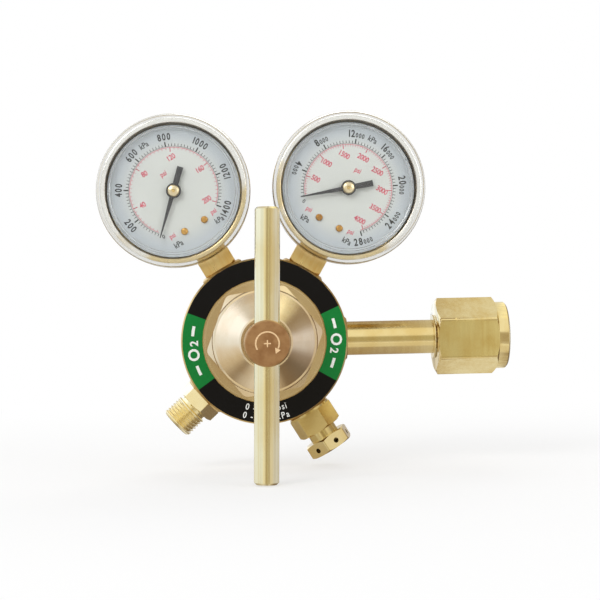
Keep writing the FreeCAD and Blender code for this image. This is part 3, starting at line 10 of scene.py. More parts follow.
import bmesh
import bpy
from mathutils import Matrix, Vector


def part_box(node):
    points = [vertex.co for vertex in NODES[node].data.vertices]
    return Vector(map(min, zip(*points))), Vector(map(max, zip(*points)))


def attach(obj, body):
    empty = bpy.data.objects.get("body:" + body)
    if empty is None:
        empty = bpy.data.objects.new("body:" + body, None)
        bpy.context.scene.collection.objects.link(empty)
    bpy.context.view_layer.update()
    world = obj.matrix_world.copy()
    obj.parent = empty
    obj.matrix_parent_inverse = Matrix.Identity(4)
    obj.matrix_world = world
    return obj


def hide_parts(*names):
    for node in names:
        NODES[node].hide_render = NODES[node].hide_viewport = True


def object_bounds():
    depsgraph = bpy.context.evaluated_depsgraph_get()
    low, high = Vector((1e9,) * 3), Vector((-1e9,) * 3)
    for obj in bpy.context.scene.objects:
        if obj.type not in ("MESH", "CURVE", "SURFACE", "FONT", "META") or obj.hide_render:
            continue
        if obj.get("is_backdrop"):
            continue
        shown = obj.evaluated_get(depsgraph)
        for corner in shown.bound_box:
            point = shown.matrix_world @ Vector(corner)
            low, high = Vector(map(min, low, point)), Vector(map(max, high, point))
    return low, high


bl_info = {
    "name": "Gas regulator looks",
    "version": (1, 0, 0),
    "blender": (4, 5, 0),
    "location": "View3D > Sidebar > Regulator",
    "description": "Finishes, threads, dials and printing of a brass gas regulator",
    "category": "Object",
}

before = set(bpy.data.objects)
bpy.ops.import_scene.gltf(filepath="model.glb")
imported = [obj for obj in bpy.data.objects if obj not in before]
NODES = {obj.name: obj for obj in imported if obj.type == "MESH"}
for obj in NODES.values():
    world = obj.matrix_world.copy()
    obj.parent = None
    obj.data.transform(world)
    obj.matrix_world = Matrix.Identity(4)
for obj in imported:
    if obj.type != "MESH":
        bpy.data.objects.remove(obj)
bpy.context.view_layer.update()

MM = 0.001
SCREW_X = (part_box("bonnet")[0].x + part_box("bonnet")[1].x) / 2
SCREW = Vector((SCREW_X, 0.0, 0.0))
PORT_ANGLES = {"outlet": 222.4, "relief": 301.4, "low_gauge": 120.0, "high_gauge": 60.0,
               "bar": 88.6}
GAUGE_REACH = 72.5 * MM
DIAL_AHEAD = 15.5 * MM
PRINT_THICKNESS = 0.04 * MM
CAPITAL_SHARE = 0.7
MARK_THICKNESS = 0.03 * MM
FULL_TURN = 2 * math.pi
CORNER_STEPS = 6
GREEN_LIMITS = (-30.2, 24.2, 158.9, -144.7)
LENS_RADIUS = 31.75 * MM
LENS_FRONT = 21.0 * MM
RIM_RADIUS = 29.0 * MM
RING_INSIDE, RING_OUTSIDE = 25.7 * MM, 33.8 * MM
WEAR = 0.1 * MM
CONE_ROOT = 20.3 * MM
HEXAGON_FRONT = 27.5 * MM
OUTLET_THREAD = (42.45 * MM, 50.5 * MM)
SCREW_THREAD = (-60.0 * MM, -36.35 * MM)
NUT_THREAD = (-12.3 * MM, 0.0)
WHITE = (1, 1, 1, 1)


def linear(red, green, blue):
    """A screen colour, 0 to 255, as a linear colour."""
    parts = [value / 255 for value in (red, green, blue)]
    return tuple(value / 12.92 if value <= 0.04045 else ((value + 0.055) / 1.055) ** 2.4
                 for value in parts) + (1.0,)


def dial_of(gauge):
    """The name under which axis_frame knows a gauge's dial."""
    return gauge.replace("_gauge", "_dial")


class Number:
    """A node socket that carries a number. Sums and products of it add Math nodes."""

    def __init__(self, net, socket):
        self.net = net
        self.socket = socket

    def math(self, operation, *others, clamp=False):
        return self.net.add("ShaderNodeMath", dict(enumerate((self,) + others)),
                            operation=operation, use_clamp=clamp)[0]

    def __add__(self, other):
        return self.math("ADD", other)

    __radd__ = __add__

    def __sub__(self, other):
        return self.math("SUBTRACT", other)

    def __rsub__(self, other):
        return self.net.add("ShaderNodeMath", {0: other, 1: self}, operation="SUBTRACT")[0]

    def __mul__(self, other):
        return self.math("MULTIPLY", other)

    __rmul__ = __mul__

    def __truediv__(self, other):
        return self.math("DIVIDE", other)

    def __pow__(self, other):
        return self.math("POWER", other)

    def __neg__(self):
        return self.math("MULTIPLY", -1.0)

    def step(self, low, high):
        """0 below low and 1 above high, smooth between."""
        return self.net.add("ShaderNodeMapRange",
                            {"Value": self, "From Min": low, "From Max": high},
                            interpolation_type="SMOOTHSTEP")[0]

    def clamped(self):
        return self.math("ADD", 0.0, clamp=True)


class Made:
    """A node that was just made, whose outputs are read as numbers."""

    def __init__(self, net, node):
        self.net = net
        self.node = node

    def __getitem__(self, name):
        return Number(self.net, self.node.outputs[name])


class Network:
    """A node tree that is filled one node at a time."""

    def __init__(self, tree):
        self.tree = tree
        tree.nodes.clear()

    def add(self, kind, values=None, **settings):
        """A node of a kind: its settings first, then the values or links of its inputs."""
        node = self.tree.nodes.new(kind)
        for name, value in settings.items():
            setattr(node, name, value)
        for name, value in (values or {}).items():
            self.feed(node.inputs[name], value)
        return Made(self, node)

    def feed(self, socket, value):
        if isinstance(value, Number):
            value = value.socket
        if isinstance(value, bpy.types.NodeSocket):
            self.tree.links.new(value, socket)
        else:
            socket.default_value = value

    def parts(self, vector):
        split = self.add("ShaderNodeSeparateXYZ", {"Vector": vector})
        return split["X"], split["Y"], split["Z"]

    def xyz(self, x=0.0, y=0.0, z=0.0):
        return self.add("ShaderNodeCombineXYZ", {"X": x, "Y": y, "Z": z})["Vector"]

    def mixed(self, factor, first, second):
        """A colour between two, by a factor."""
        node = self.add("ShaderNodeMix", {"Factor": factor}, data_type="RGBA").node
        ends = [socket for socket in node.inputs if socket.type == "RGBA"]
        self.feed(ends[0], first)
        self.feed(ends[1], second)
        return [socket for socket in node.outputs if socket.type == "RGBA"][0]


class Paint(Network):
    """A material's nodes round one Principled shader."""

    def __init__(self, name, **constants):
        self.material = bpy.data.materials.new(name)
        self.material.use_nodes = True
        super().__init__(self.material.node_tree)
        self.shader = self.add("ShaderNodeBsdfPrincipled").node
        self.surface = self.add("ShaderNodeOutputMaterial").node.inputs["Surface"]
        self.feed(self.surface, self.shader.outputs[0])
        self.position = self.add("ShaderNodeTexCoord")["Object"]
        for key, value in constants.items():
            self.set(key.replace("_", " ").title().replace("Ior", "IOR"), value)

    def set(self, name, value):
        self.feed(self.shader.inputs[name], value)

    def local(self, centre, rotation):
        """Position about a centre, turned so that +X is the piece's axis."""
        return self.add("ShaderNodeMapping", {"Vector": self.position, "Location": centre,
                                              "Rotation": rotation},
                        vector_type="TEXTURE")["Vector"]

    def about(self, kind):
        """Distance along the axis of a piece and away from it, and the two parts of that."""
        along, across, up = self.parts(self.local(*axis_frame(kind)))
        return along, (across * across + up * up) ** 0.5, across, up

    def distance(self, spot):
        return self.add("ShaderNodeVectorMath", {0: self.position, 1: spot},
                        operation="DISTANCE")["Value"]

    def noise(self, scale, detail=2.0, vector=None, stretch=None):
        source = self.position if vector is None else vector
        if stretch is not None:
            source = self.add("ShaderNodeMapping", {"Vector": source, "Scale": stretch})["Vector"]
        return self.add("ShaderNodeTexNoise",
                        {"Vector": source, "Scale": scale, "Detail": detail})["Fac"]

    def lines(self, number, spacing, detail=2.0):
        """Uneven lines along a number, their usual spacing in the number's unit."""
        return self.add("ShaderNodeTexNoise",
                        {"W": number / spacing, "Scale": 1.0, "Detail": detail},
                        noise_dimensions="1D")["Fac"]

    def coat(self, base, roughness=None, height=None, distance=1.0, strength=1.0):
        """The finished material. Its surface is raised by a height, given for 1, in metres."""
        self.set("Base Color", base)
        if roughness is not None:
            self.set("Roughness", roughness)
        if height is not None:
            self.set("Normal", self.add("ShaderNodeBump",
                                        {"Height": height, "Distance": distance,
                                         "Strength": strength})["Normal"])
        return self.material


def axis_frame(kind):
    """Centre and rotation that bring the axis of a piece to +X."""
    if kind == "screw":
        return tuple(SCREW), (0.0, 0.0, math.pi / 2)
    if kind == "inlet":
        return (0.0, 0.0, 0.0), (0.0, 0.0, 0.0)
    if kind in ("low_dial", "high_dial"):
        centre = gauge_centre(kind.replace("_dial", "_gauge"))
        return tuple(centre), (0.0, 0.0, math.pi / 2)
    return tuple(SCREW), (0.0, -math.radians(PORT_ANGLES[kind]), 0.0)


def gauge_centre(gauge):
    angle = math.radians(PORT_ANGLES[gauge])
    return SCREW + Vector((math.cos(angle), 0.0, math.sin(angle))) * GAUGE_REACH


def turned_metal(name, kind, colour, shade, roughness, ring, groove):
    """Metal turned on a lathe: rings round the piece's axis and a faint cloudy tarnish."""
    paint = Paint(name, metallic=1.0)
    along, radius = paint.about(kind)[:2]
    rings = paint.lines(along + radius, ring, 4.0)
    tarnish = paint.noise(60.0, 4.0)
    return paint.coat(paint.mixed(tarnish.step(0.35, 0.75), colour, shade),
                      roughness + (tarnish - 0.5) * 0.16 + (rings - 0.5) * 0.10,
                      rings, groove)


def bonnet_metal(colour):
    """Polished bonnet: fine turning marks blur what it mirrors into streaks that run up the
    cone. The cone is shaded as a shallower one, and the hexagon's corners slope outwards."""
    paint = Paint("bonnet_brass", metallic=1.0)
    along, radius = paint.about("screw")[:2]
    rings = paint.lines(along + radius, 0.42 * MM, 4.0)
    tarnish = paint.noise(60.0, 4.0)
    cone = (along + HEXAGON_FRONT).math("MINIMUM", 0.0)
    corners = ((radius - CONE_ROOT).math("MAXIMUM", 0.0)
               * (1.0 - along.step(-27.4 * MM, -27.2 * MM)))
    slope = cone * 0.42 - corners * 0.5
    return paint.coat(paint.mixed(tarnish.step(0.35, 0.75), colour, linear(230, 206, 170)),
                      0.2 + (tarnish - 0.5) * 0.12 + (rings - 0.5) * 0.12,
                      slope + rings * (0.03 * MM), 1.0)


def case_metal(gauge):
    """Gauge case: its rolled rim is painted near-white with dull gold patches towards the
    socket, a painted reflection of what lies round it, and a dark line of painted shade
    where it meets the dial."""
    paint = Paint(gauge + "_case_brass", metallic=1.0)
    along, radius = paint.about(dial_of(gauge))[:2]
    front = 1.0 - along.step(-18.0 * MM, -17.0 * MM)
    angle = math.radians(PORT_ANGLES[gauge])
    centre = gauge_centre(gauge)
    x, z = paint.parts(paint.position)[::2]
    inward = ((x - centre.x) * -math.cos(angle)
              + (z - centre.z) * -math.sin(angle)) / RIM_RADIUS
    # painted reflection: a near-white rim with gold patches towards the socket, for what the rim
    # mirrors
    painted_reflection_patches = (paint.noise(60.0, 2.0) * 0.9 + inward * 0.32).step(0.42, 0.68)
    # painted shade: a dark line where the rim meets the dial
    edge = 1.0 - radius.step(28.05 * MM, 28.5 * MM)
    pale = paint.mixed(painted_reflection_patches, linear(238, 236, 230), linear(214, 194, 148))
    rim = paint.mixed(edge * 0.8, pale, linear(120, 96, 58))
    roll = (1.0 - ((radius - 29.1 * MM) / (1.25 * MM)) ** 2.0).math("MAXIMUM", 0.0) ** 0.5
    return paint.coat(paint.mixed(front, linear(226, 206, 158), rim),
                      0.2 + paint.noise(300.0, 2.0) * 0.1,
                      roll * front * (0.55 * MM), 1.0)


def hub_metal(gauge):
    """Pointer hub: a pale turned cap with a small dimple in its middle, painted dark as painted
    shade.
    """
    paint = Paint(gauge + "_hub_brass", metallic=1.0)
    radius = paint.about(dial_of(gauge))[1]
    # painted shade: the dimple's hollow is painted dark
    shaded_dimple = 1.0 - radius.step(0.25 * MM, 0.75 * MM)
    rings = paint.lines(radius, 0.3 * MM, 3.0)
    pale = paint.mixed(rings, linear(246, 232, 196), linear(226, 200, 146))
    dome = (1.0 - (radius / (2.7 * MM)) ** 2.0).math("MAXIMUM", 0.0)
    return paint.coat(paint.mixed(shaded_dimple * 0.85, pale, linear(96, 66, 30)),
                      0.28 + rings * 0.1,
                      dome * (0.8 * MM) - shaded_dimple * (0.2 * MM), 1.0)


def ground_metal(name, kind, colour, shade, roughness):
    """Metal with milled or drawn faces: streaks along the piece's axis and fine grain."""
    paint = Paint(name, metallic=1.0)
    local = paint.local(*axis_frame(kind))
    streaks = paint.noise(900.0, 3.0, local, (0.04, 1.0, 1.0))
    grain = paint.noise(1400.0, 2.0)
    tarnish = paint.noise(75.0, 5.0)
    mask = (tarnish * 0.7 + streaks * 0.3).step(0.38, 0.66)
    return paint.coat(paint.mixed(mask, colour, shade),
                      roughness + (streaks - 0.5) * 0.25 + (tarnish - 0.5) * 0.12,
                      streaks * 0.6 + grain * 0.4, 0.020 * MM)


def drawn_bar(name, colour, shade, roughness):
    """Drawn rod with long streaks and some handling marks."""
    paint = Paint(name, metallic=1.0)
    local = paint.local(*axis_frame("bar"))
    streaks = paint.noise(520.0, 4.0, local, (0.018, 1.0, 1.0))
    fine = paint.noise(2200.0, 2.0, local, (0.03, 1.0, 1.0))
    handling = paint.noise(45.0, 5.0)
    mask = (streaks * 0.6 + handling * 0.4).step(0.40, 0.62)
    return paint.coat(paint.mixed(mask, colour, shade),
                      roughness + (streaks - 0.5) * 0.30 + (handling - 0.5) * 0.15,
                      streaks * 0.5 + fine * 0.5, 0.030 * MM)


def cast_metal(name, colour, shade, roughness):
    """Forged metal, tumbled: soft small dimples."""
    paint = Paint(name, metallic=1.0)
    dimples = paint.noise(700.0, 3.0)
    tarnish = paint.noise(60.0, 4.0)
    return paint.coat(paint.mixed(tarnish.step(0.35, 0.7), colour, shade),
                      roughness + (dimples - 0.5) * 0.2 + (tarnish - 0.5) * 0.1,
                      dimples, 0.03 * MM)


def head_metal():
    """Dull brass face with fine facing marks and a rubbed rim."""
    paint = Paint("dull_head_brass", metallic=1.0)
    along, radius = paint.about("screw")[:2]
    rings = paint.lines(radius + along * 0.6, 0.45 * MM, 3.0)
    tarnish = paint.noise(220.0, 5.0)
    rubbed = radius.step(8.15 * MM, 8.7 * MM)
    tone = paint.mixed(tarnish.step(0.35, 0.7), linear(190, 150, 112), linear(168, 126, 90))
    return paint.coat(paint.mixed(rubbed * 0.55, tone, linear(222, 192, 140)),
                      0.52 + (tarnish - 0.5) * 0.2 - rubbed * 0.12,
                      rings * 0.5 + tarnish * 0.5, 0.02 * MM)


def label_print():
    """Gloss black ring with two green segments, a hair of orange peel and edge wear."""
    paint = Paint("ring_print", specular_ior_level=0.22)
    radius, across, up = paint.about("screw")[1:]
    turn = up.math("ARCTAN2", -across)
    edge = math.radians(0.12)
    start, end, other_start, other_end = [math.radians(a) for a in GREEN_LIMITS]
    right = (turn.step(start - edge, start + edge)
             * (1.0 - turn.step(end - edge, end + edge)))
    left = (turn.step(other_start - edge, other_start + edge)
            + (1.0 - turn.step(other_end - edge, other_end + edge)))
    mottle = paint.noise(900.0, 3.0)
    scuff = paint.noise(260.0, 6.0)
    green = paint.mixed(mottle, linear(8, 118, 48), linear(14, 128, 56))
    black = paint.mixed(mottle, linear(3, 3, 8), linear(9, 9, 14))
    tone = paint.mixed((left + right).clamped(), black, green)
    worn = (radius.step(RING_OUTSIDE - WEAR, RING_OUTSIDE + WEAR) + 1.0
            - radius.step(RING_INSIDE - WEAR, RING_INSIDE + WEAR)).clamped()
    return paint.coat(paint.mixed(worn * scuff.step(0.45, 0.6) * 0.6, tone, linear(190, 160, 110)),
                      0.30 + (mottle - 0.5) * 0.1 + scuff.step(0.6, 0.75) * 0.12,
                      mottle, 0.012 * MM)


def dial_paint(gauge):
    """Matt pale dial with fine speckle; towards its rim it is painted darker and a little
    bluer, as painted shade under the lens rim.
    """
    paint = Paint(gauge + "_dial_paint", roughness=0.55)
    radius = paint.about(dial_of(gauge))[1]
    speckle = paint.noise(1800.0, 2.0)
    cloud = paint.noise(70.0, 3.0)
    # painted shade: darker and bluer towards the rim, under the lens rim
    tone = paint.mixed(radius.step(15 * MM, 25 * MM), linear(207, 209, 203),
                       linear(184, 191, 196))
    shaded = paint.mixed((speckle * 0.5 + cloud * 0.5).step(0.3, 0.8) * 0.12, tone,
                         linear(190, 198, 200))
    return paint.coat(shaded,
                      None,
                      speckle, 0.01 * MM)


def ink(name, colour, faded):
    """Printed ink, slightly uneven."""
    paint = Paint(name)
    patch = paint.noise(2500.0, 3.0)
    return paint.coat(paint.mixed(patch.step(0.35, 0.8) * 0.5, colour, faded),
                      0.45 + (patch - 0.5) * 0.2)


def lens_plastic(gauge):
    """Clear lens plastic with very faint waviness, a little milky in its thick rim."""
    paint = Paint(gauge + "_lens_plastic", transmission_weight=1.0, ior=1.47)
    radius = paint.about(dial_of(gauge))[1]
    rim = radius.step(29.9 * MM, 30.2 * MM)
    wave = paint.noise(55.0, 2.0)
    return paint.coat(paint.mixed(rim, (0.97, 0.98, 0.98, 1.0), (0.78, 0.78, 0.76, 1.0)),
                      0.02 + wave * 0.03 + rim * 0.12,
                      wave, 0.02 * MM)


def rubber(name, colour):
    paint = Paint(name)
    grain = paint.noise(1500.0, 3.0)
    return paint.coat(paint.mixed(grain, colour, tuple(c * 1.6 for c in colour[:3]) + (1,)),
                      0.6 + (grain - 0.5) * 0.3,
                      grain, 0.03 * MM)


def steel(name, colour, roughness):
    paint = Paint(name, metallic=1.0)
    grain = paint.noise(1100.0, 4.0)
    cloud = paint.noise(150.0, 3.0)
    return paint.coat(paint.mixed(cloud, colour, tuple(c * 0.72 for c in colour[:3]) + (1,)),
                      roughness + (grain - 0.5) * 0.2,
                      grain, 0.01 * MM)


def sintered(name):
    """Porous sintered bronze."""
    paint = Paint(name, metallic=1.0)
    cell = paint.add("ShaderNodeTexVoronoi",
                     {"Vector": paint.position, "Scale": 2600.0})["Distance"]
    # painted shade: the hollows between the grains are painted darker
    return paint.coat(paint.mixed(cell.step(0.1, 0.6), linear(186, 146, 96), linear(96, 70, 44)),
                      0.5 + cell * 0.3,
                      1.0 - cell, 0.12 * MM)


def place(mesh, matrix, name, material, body, slot, nodes=()):
    """A finished piece from a mesh: its place goes into the mesh, its object stays at the
    origin, and it rides on its body."""
    mesh.transform(matrix)
    mesh.name = name
    piece = in_scene(name, mesh)
    if material is not None:
        mesh.materials.clear()
        mesh.materials.append(material)
    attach(piece, body)
    if nodes:
        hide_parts(*nodes)
    return piece


def smooth(mesh, degrees=32.0):
    """Smooth shading, kept sharp at edges over an angle."""
    mesh.shade_smooth()
    mesh.set_sharp_from_angle(angle=math.radians(degrees))


def flat_faces(mesh):
    """The mesh with its large faces shaded flat and the small ones at its edges rounded."""
    smooth(mesh, 25)
    holder = in_scene("shaded", mesh)
    modifier = holder.modifiers.new("weighted", "WEIGHTED_NORMAL")
    modifier.keep_sharp = True
    return plain_mesh(holder)


def made_mesh(made, name, material=None):
    """The finished mesh of a bmesh, which is then freed."""
    mesh = bpy.data.meshes.new(name)
    made.to_mesh(mesh)
    made.free()
    if material is not None:
        mesh.materials.append(material)
    return mesh


def in_scene(name, data):
    """A new object of the scene."""
    holder = bpy.data.objects.new(name, data)
    bpy.context.scene.collection.objects.link(holder)
    return holder


def plain_mesh(holder):
    """The evaluated mesh of an object, which is then removed."""
    bpy.context.view_layer.update()
    seen = holder.evaluated_get(bpy.context.evaluated_depsgraph_get())
    mesh = bpy.data.meshes.new_from_object(seen)
    data = holder.data
    bpy.data.objects.remove(holder)
    if data is not None and data.users == 0:
        if isinstance(data, bpy.types.Mesh):
            bpy.data.meshes.remove(data)
        else:
            bpy.data.curves.remove(data)
    return mesh


def joined(meshes, name):
    """One mesh from several; materials stay in order of first use."""
    made = bmesh.new()
    materials = []
    for mesh in meshes:
        table = []
        for material in mesh.materials:
            if material not in materials:
                materials.append(material)
            table.append(materials.index(material))
        start = len(made.faces)
        made.from_mesh(mesh)
        made.faces.ensure_lookup_table()
        for face in made.faces[start:]:
            if table:
                face.material_index = table[min(face.material_index, len(table) - 1)]
        bpy.data.meshes.remove(mesh)
    result = made_mesh(made, name)
    for material in materials:
        result.materials.append(material)
    return result


def grow(name, net_maker, values, source=None):
    """Run a Geometry Nodes tree on a source mesh and return the mesh that it makes."""
    tree = bpy.data.node_groups.get(name) or net_maker(name)
    mesh = source or bpy.data.meshes.new(name + "_seed")
    holder = in_scene(name + "_holder", mesh)
    modifier = holder.modifiers.new("grow", "NODES")
    modifier.node_group = tree
    for item in tree.interface.items_tree:
        if item.item_type == "SOCKET" and item.in_out == "INPUT" and item.name in values:
            modifier[item.identifier] = values[item.name]
    return plain_mesh(holder)


def new_tree(name, inputs):
    """A Geometry Nodes tree with named inputs; returns its network and their sockets."""
    tree = bpy.data.node_groups.new(name, "GeometryNodeTree")
    tree.interface.new_socket("Geometry", in_out="OUTPUT", socket_type="NodeSocketGeometry")
    tree.interface.new_socket("Geometry", in_out="INPUT", socket_type="NodeSocketGeometry")
    for label, kind, default in inputs:
        socket = tree.interface.new_socket(label, in_out="INPUT", socket_type=kind)
        if default is not None:
            socket.default_value = default
    net = Network(tree)
    return tree, net, net.add("NodeGroupInput")


def close_tree(net, geometry, material):
    """Realize Instances, Set Material and the tree's output."""
    real = net.add("GeometryNodeRealizeInstances", {"Geometry": geometry})
    painted = net.add("GeometryNodeSetMaterial",
                      {"Geometry": real["Geometry"], "Material": material})
    net.add("NodeGroupOutput", {"Geometry": painted["Geometry"]})


def tick_tree(name):
    """A row of ticks round a centre, standing on the XY plane, clockwise from +Y."""
    tree, net, given = new_tree(name, [
        ("Count", "NodeSocketInt", 10), ("First Angle", "NodeSocketFloat", 0.0),
        ("Step Angle", "NodeSocketFloat", 0.1), ("Inner Radius", "NodeSocketFloat", 0.02),
        ("Length", "NodeSocketFloat", 0.002), ("Width", "NodeSocketFloat", 0.0003),
        ("Thickness", "NodeSocketFloat", 0.00004), ("Material", "NodeSocketMaterial", None)])
    points = net.add("GeometryNodeMeshLine", {"Count": given["Count"],
                                                    "Offset": (0.0, 0.0, 0.0)})
    size = net.xyz(given["Width"], given["Length"], given["Thickness"])
    tick = net.add("GeometryNodeMeshCube", {"Size": size})
    reach = given["Inner Radius"] + given["Length"] * 0.5
    offset = net.xyz(y=reach, z=given["Thickness"] * 0.5)
    moved = net.add("GeometryNodeTransform", {"Geometry": tick["Mesh"], "Translation": offset})
    index = net.add("GeometryNodeInputIndex")[0]
    angle = -(given["First Angle"] + index * given["Step Angle"])
    rotation = net.add("FunctionNodeEulerToRotation", {"Euler": net.xyz(z=angle)})
    copies = net.add("GeometryNodeInstanceOnPoints",
                     {"Points": points["Mesh"], "Instance": moved["Geometry"],
                      "Rotation": rotation["Rotation"]})
    close_tree(net, copies["Instances"], given["Material"])
    return tree


def thread_tree(name):
    """A screw thread round the X axis: a sheet wrapped to a tube, with a groove that
    follows the helix and runs out at both ends."""
    tree, net, given = new_tree(name, [
        ("Crest Radius", "NodeSocketFloat", 0.007), ("Depth", "NodeSocketFloat", 0.0006),
        ("Pitch", "NodeSocketFloat", 0.0014), ("Start", "NodeSocketFloat", 0.0),
        ("End", "NodeSocketFloat", 0.01), ("Run Out", "NodeSocketFloat", 0.001),
        ("Around", "NodeSocketInt", 96), ("Along", "NodeSocketInt", 90),
        ("Material", "NodeSocketMaterial", None)])
    sheet = net.add("GeometryNodeMeshGrid",
                    {"Size X": 1.0, "Size Y": 1.0, "Vertices X": given["Around"],
                     "Vertices Y": given["Along"]})
    where = net.add("ShaderNodeSeparateXYZ", {"Vector": net.add("GeometryNodeInputPosition")[0]})
    share = where["X"] + 0.5
    start, end = given["Start"], given["End"]
    along = start + (where["Y"] + 0.5) * (end - start)
    phase = (along / given["Pitch"] - share).math("FRACT")
    valley = (1.0 - (phase - 0.5).math("ABSOLUTE") * 2.5 + 0.12).clamped()
    fade = (((along - start) / given["Run Out"]).clamped()
            * ((end - along) / given["Run Out"]).clamped())
    radius = given["Crest Radius"] - given["Depth"] * valley * fade
    angle = share * FULL_TURN
    spot = net.xyz(along, radius * angle.math("COSINE"), radius * angle.math("SINE"))
    wrapped = net.add("GeometryNodeSetPosition", {"Geometry": sheet["Mesh"], "Position": spot})
    welded = net.add("GeometryNodeMergeByDistance",
                     {"Geometry": wrapped["Geometry"], "Distance": 1e-7})
    close_tree(net, welded["Geometry"], given["Material"])
    return tree


def screw_head_tree(name):
    """Slotted round screw heads, one on each vertex of the source, standing along +Z."""
    tree, net, given = new_tree(name, [
        ("Radius", "NodeSocketFloat", 0.0015), ("Height", "NodeSocketFloat", 0.0009),
        ("Slot Width", "NodeSocketFloat", 0.0004), ("Slot Depth", "NodeSocketFloat", 0.0004),
        ("Slot Angle", "NodeSocketFloat", 0.5), ("Material", "NodeSocketMaterial", None)])
    sheet = net.add("GeometryNodeMeshGrid",
                    {"Size X": 1.0, "Size Y": 1.0, "Vertices X": 41, "Vertices Y": 18})
    where = net.add("ShaderNodeSeparateXYZ", {"Vector": net.add("GeometryNodeInputPosition")[0]})
    angle = (where["X"] + 0.5) * FULL_TURN
    rise = where["Y"] + 0.5
    foot = (rise * 8.0).clamped()
    arc = ((rise - 0.125) / 0.875).clamped() * (math.pi / 2)
    corner = 0.62
    radius = given["Radius"] * foot * (arc.math("COSINE").math("MAXIMUM", 0.0) ** corner)
    height = given["Height"] * (arc.math("SINE").math("MAXIMUM", 0.0) ** corner)
    spot = net.xyz(radius * angle.math("COSINE"), radius * angle.math("SINE"), height)
    domed = net.add("GeometryNodeSetPosition", {"Geometry": sheet["Mesh"], "Position": spot})
    welded = net.add("GeometryNodeMergeByDistance",
                     {"Geometry": domed["Geometry"], "Distance": 1e-7})
    size = net.xyz(given["Slot Width"], given["Radius"] * 3.0, given["Slot Depth"] * 2.0)
    cutter = net.add("GeometryNodeMeshCube", {"Size": size})
    slot = net.add("GeometryNodeTransform",
                   {"Geometry": cutter["Mesh"], "Translation": net.xyz(z=given["Height"]),
                    "Rotation": net.xyz(z=given["Slot Angle"])})
    head = net.add("GeometryNodeMeshBoolean",
                   {"Mesh 1": welded["Geometry"], "Mesh 2": slot["Geometry"]},
                   operation="DIFFERENCE", solver="EXACT")
    copies = net.add("GeometryNodeInstanceOnPoints",
                     {"Points": given["Geometry"], "Instance": head["Mesh"]})
    close_tree(net, copies["Instances"], given["Material"])
    return tree


def lathe(profile, segments):
    """A closed (radius, height) outline turned about +Z."""
    made = bmesh.new()
    rings = []
    for radius, height in profile:
        if radius < 1e-9:
            rings.append([made.verts.new((0.0, 0.0, height))])
            continue
        rings.append([made.verts.new((radius * math.cos(FULL_TURN * k / segments),
                                      radius * math.sin(FULL_TURN * k / segments), height))
                      for k in range(segments)])
    for index, ring in enumerate(rings):
        following = rings[(index + 1) % len(rings)]
        if len(ring) == 1 and len(following) == 1:
            continue
        for k in range(segments):
            after = (k + 1) % segments
            corners = [ring[k % len(ring)], ring[after % len(ring)],
                       following[after % len(following)], following[k % len(following)]]
            corners = [v for n, v in enumerate(corners) if v not in corners[:n]]
            made.faces.new(corners)
    bmesh.ops.recalc_face_normals(made, faces=made.faces)
    mesh = made_mesh(made, "lathe")
    smooth(mesh)
    return mesh


def rounded(points):
    """A (radius, height) outline whose corners with a third value are rounded by it."""
    outline = []
    count = len(points)
    for index, point in enumerate(points):
        here = Vector(point[:2])
        size = point[2] if len(point) > 2 else 0.0
        if size <= 0:
            outline.append(tuple(here))
            continue
        before = (Vector(points[index - 1][:2]) - here).normalized()
        after = (Vector(points[(index + 1) % count][:2]) - here).normalized()
        half = before.angle(after) / 2
        cut = size / math.tan(half)
        middle = here + (before + after).normalized() * (size / math.sin(half))
        start = (here + before * cut - middle).normalized()
        end = (here + after * cut - middle).normalized()
        for step in range(CORNER_STEPS + 1):
            outline.append(tuple(middle + start.slerp(end, step / CORNER_STEPS) * size))
    return outline


def facing_front(centre, ahead, turn=0.0):
    """Matrix that stands an XY drawing up to face the front, turned anticlockwise."""
    stand = Matrix(((1, 0, 0, 0), (0, 0, -1, 0), (0, 1, 0, 0), (0, 0, 0, 1)))
    return (Matrix.Translation(Vector((centre.x, -ahead, centre.z)))
            @ stand @ Matrix.Rotation(turn, 4, "Z"))


def along_axis(kind):
    """Matrix that brings +X to the axis of a piece."""
    centre, rotation = axis_frame(kind)
    turn = (Matrix.Rotation(rotation[2], 4, "Z") @ Matrix.Rotation(rotation[1], 4, "Y")
            @ Matrix.Rotation(rotation[0], 4, "X"))
    return Matrix.Translation(Vector(centre)) @ turn


def lettering(text, size, matrix, material, bold=0.0, spacing=1.0, narrow=1.0):
    """A word as a thin mesh, centred; its capitals are 0.7 of the size high, bold is how far
    its strokes grow outwards, as a share of the size, and narrow squeezes its width."""
    curve = bpy.data.curves.new("word", "FONT")
    curve.body = text
    curve.size = size
    curve.space_character = spacing
    curve.align_x = "CENTER"
    curve.align_y = "BOTTOM_BASELINE"
    curve.offset = bold * size
    curve.extrude = PRINT_THICKNESS / 2
    curve.resolution_u = 3
    mesh = plain_mesh(in_scene("word", curve))
    mesh.transform(matrix @ Matrix.Translation((0, -CAPITAL_SHARE / 2 * size,
                                                PRINT_THICKNESS / 2))
                   @ Matrix.Diagonal((narrow, 1.0, 1.0, 1.0)))
    mesh.materials.clear()
    mesh.materials.append(material)
    return mesh


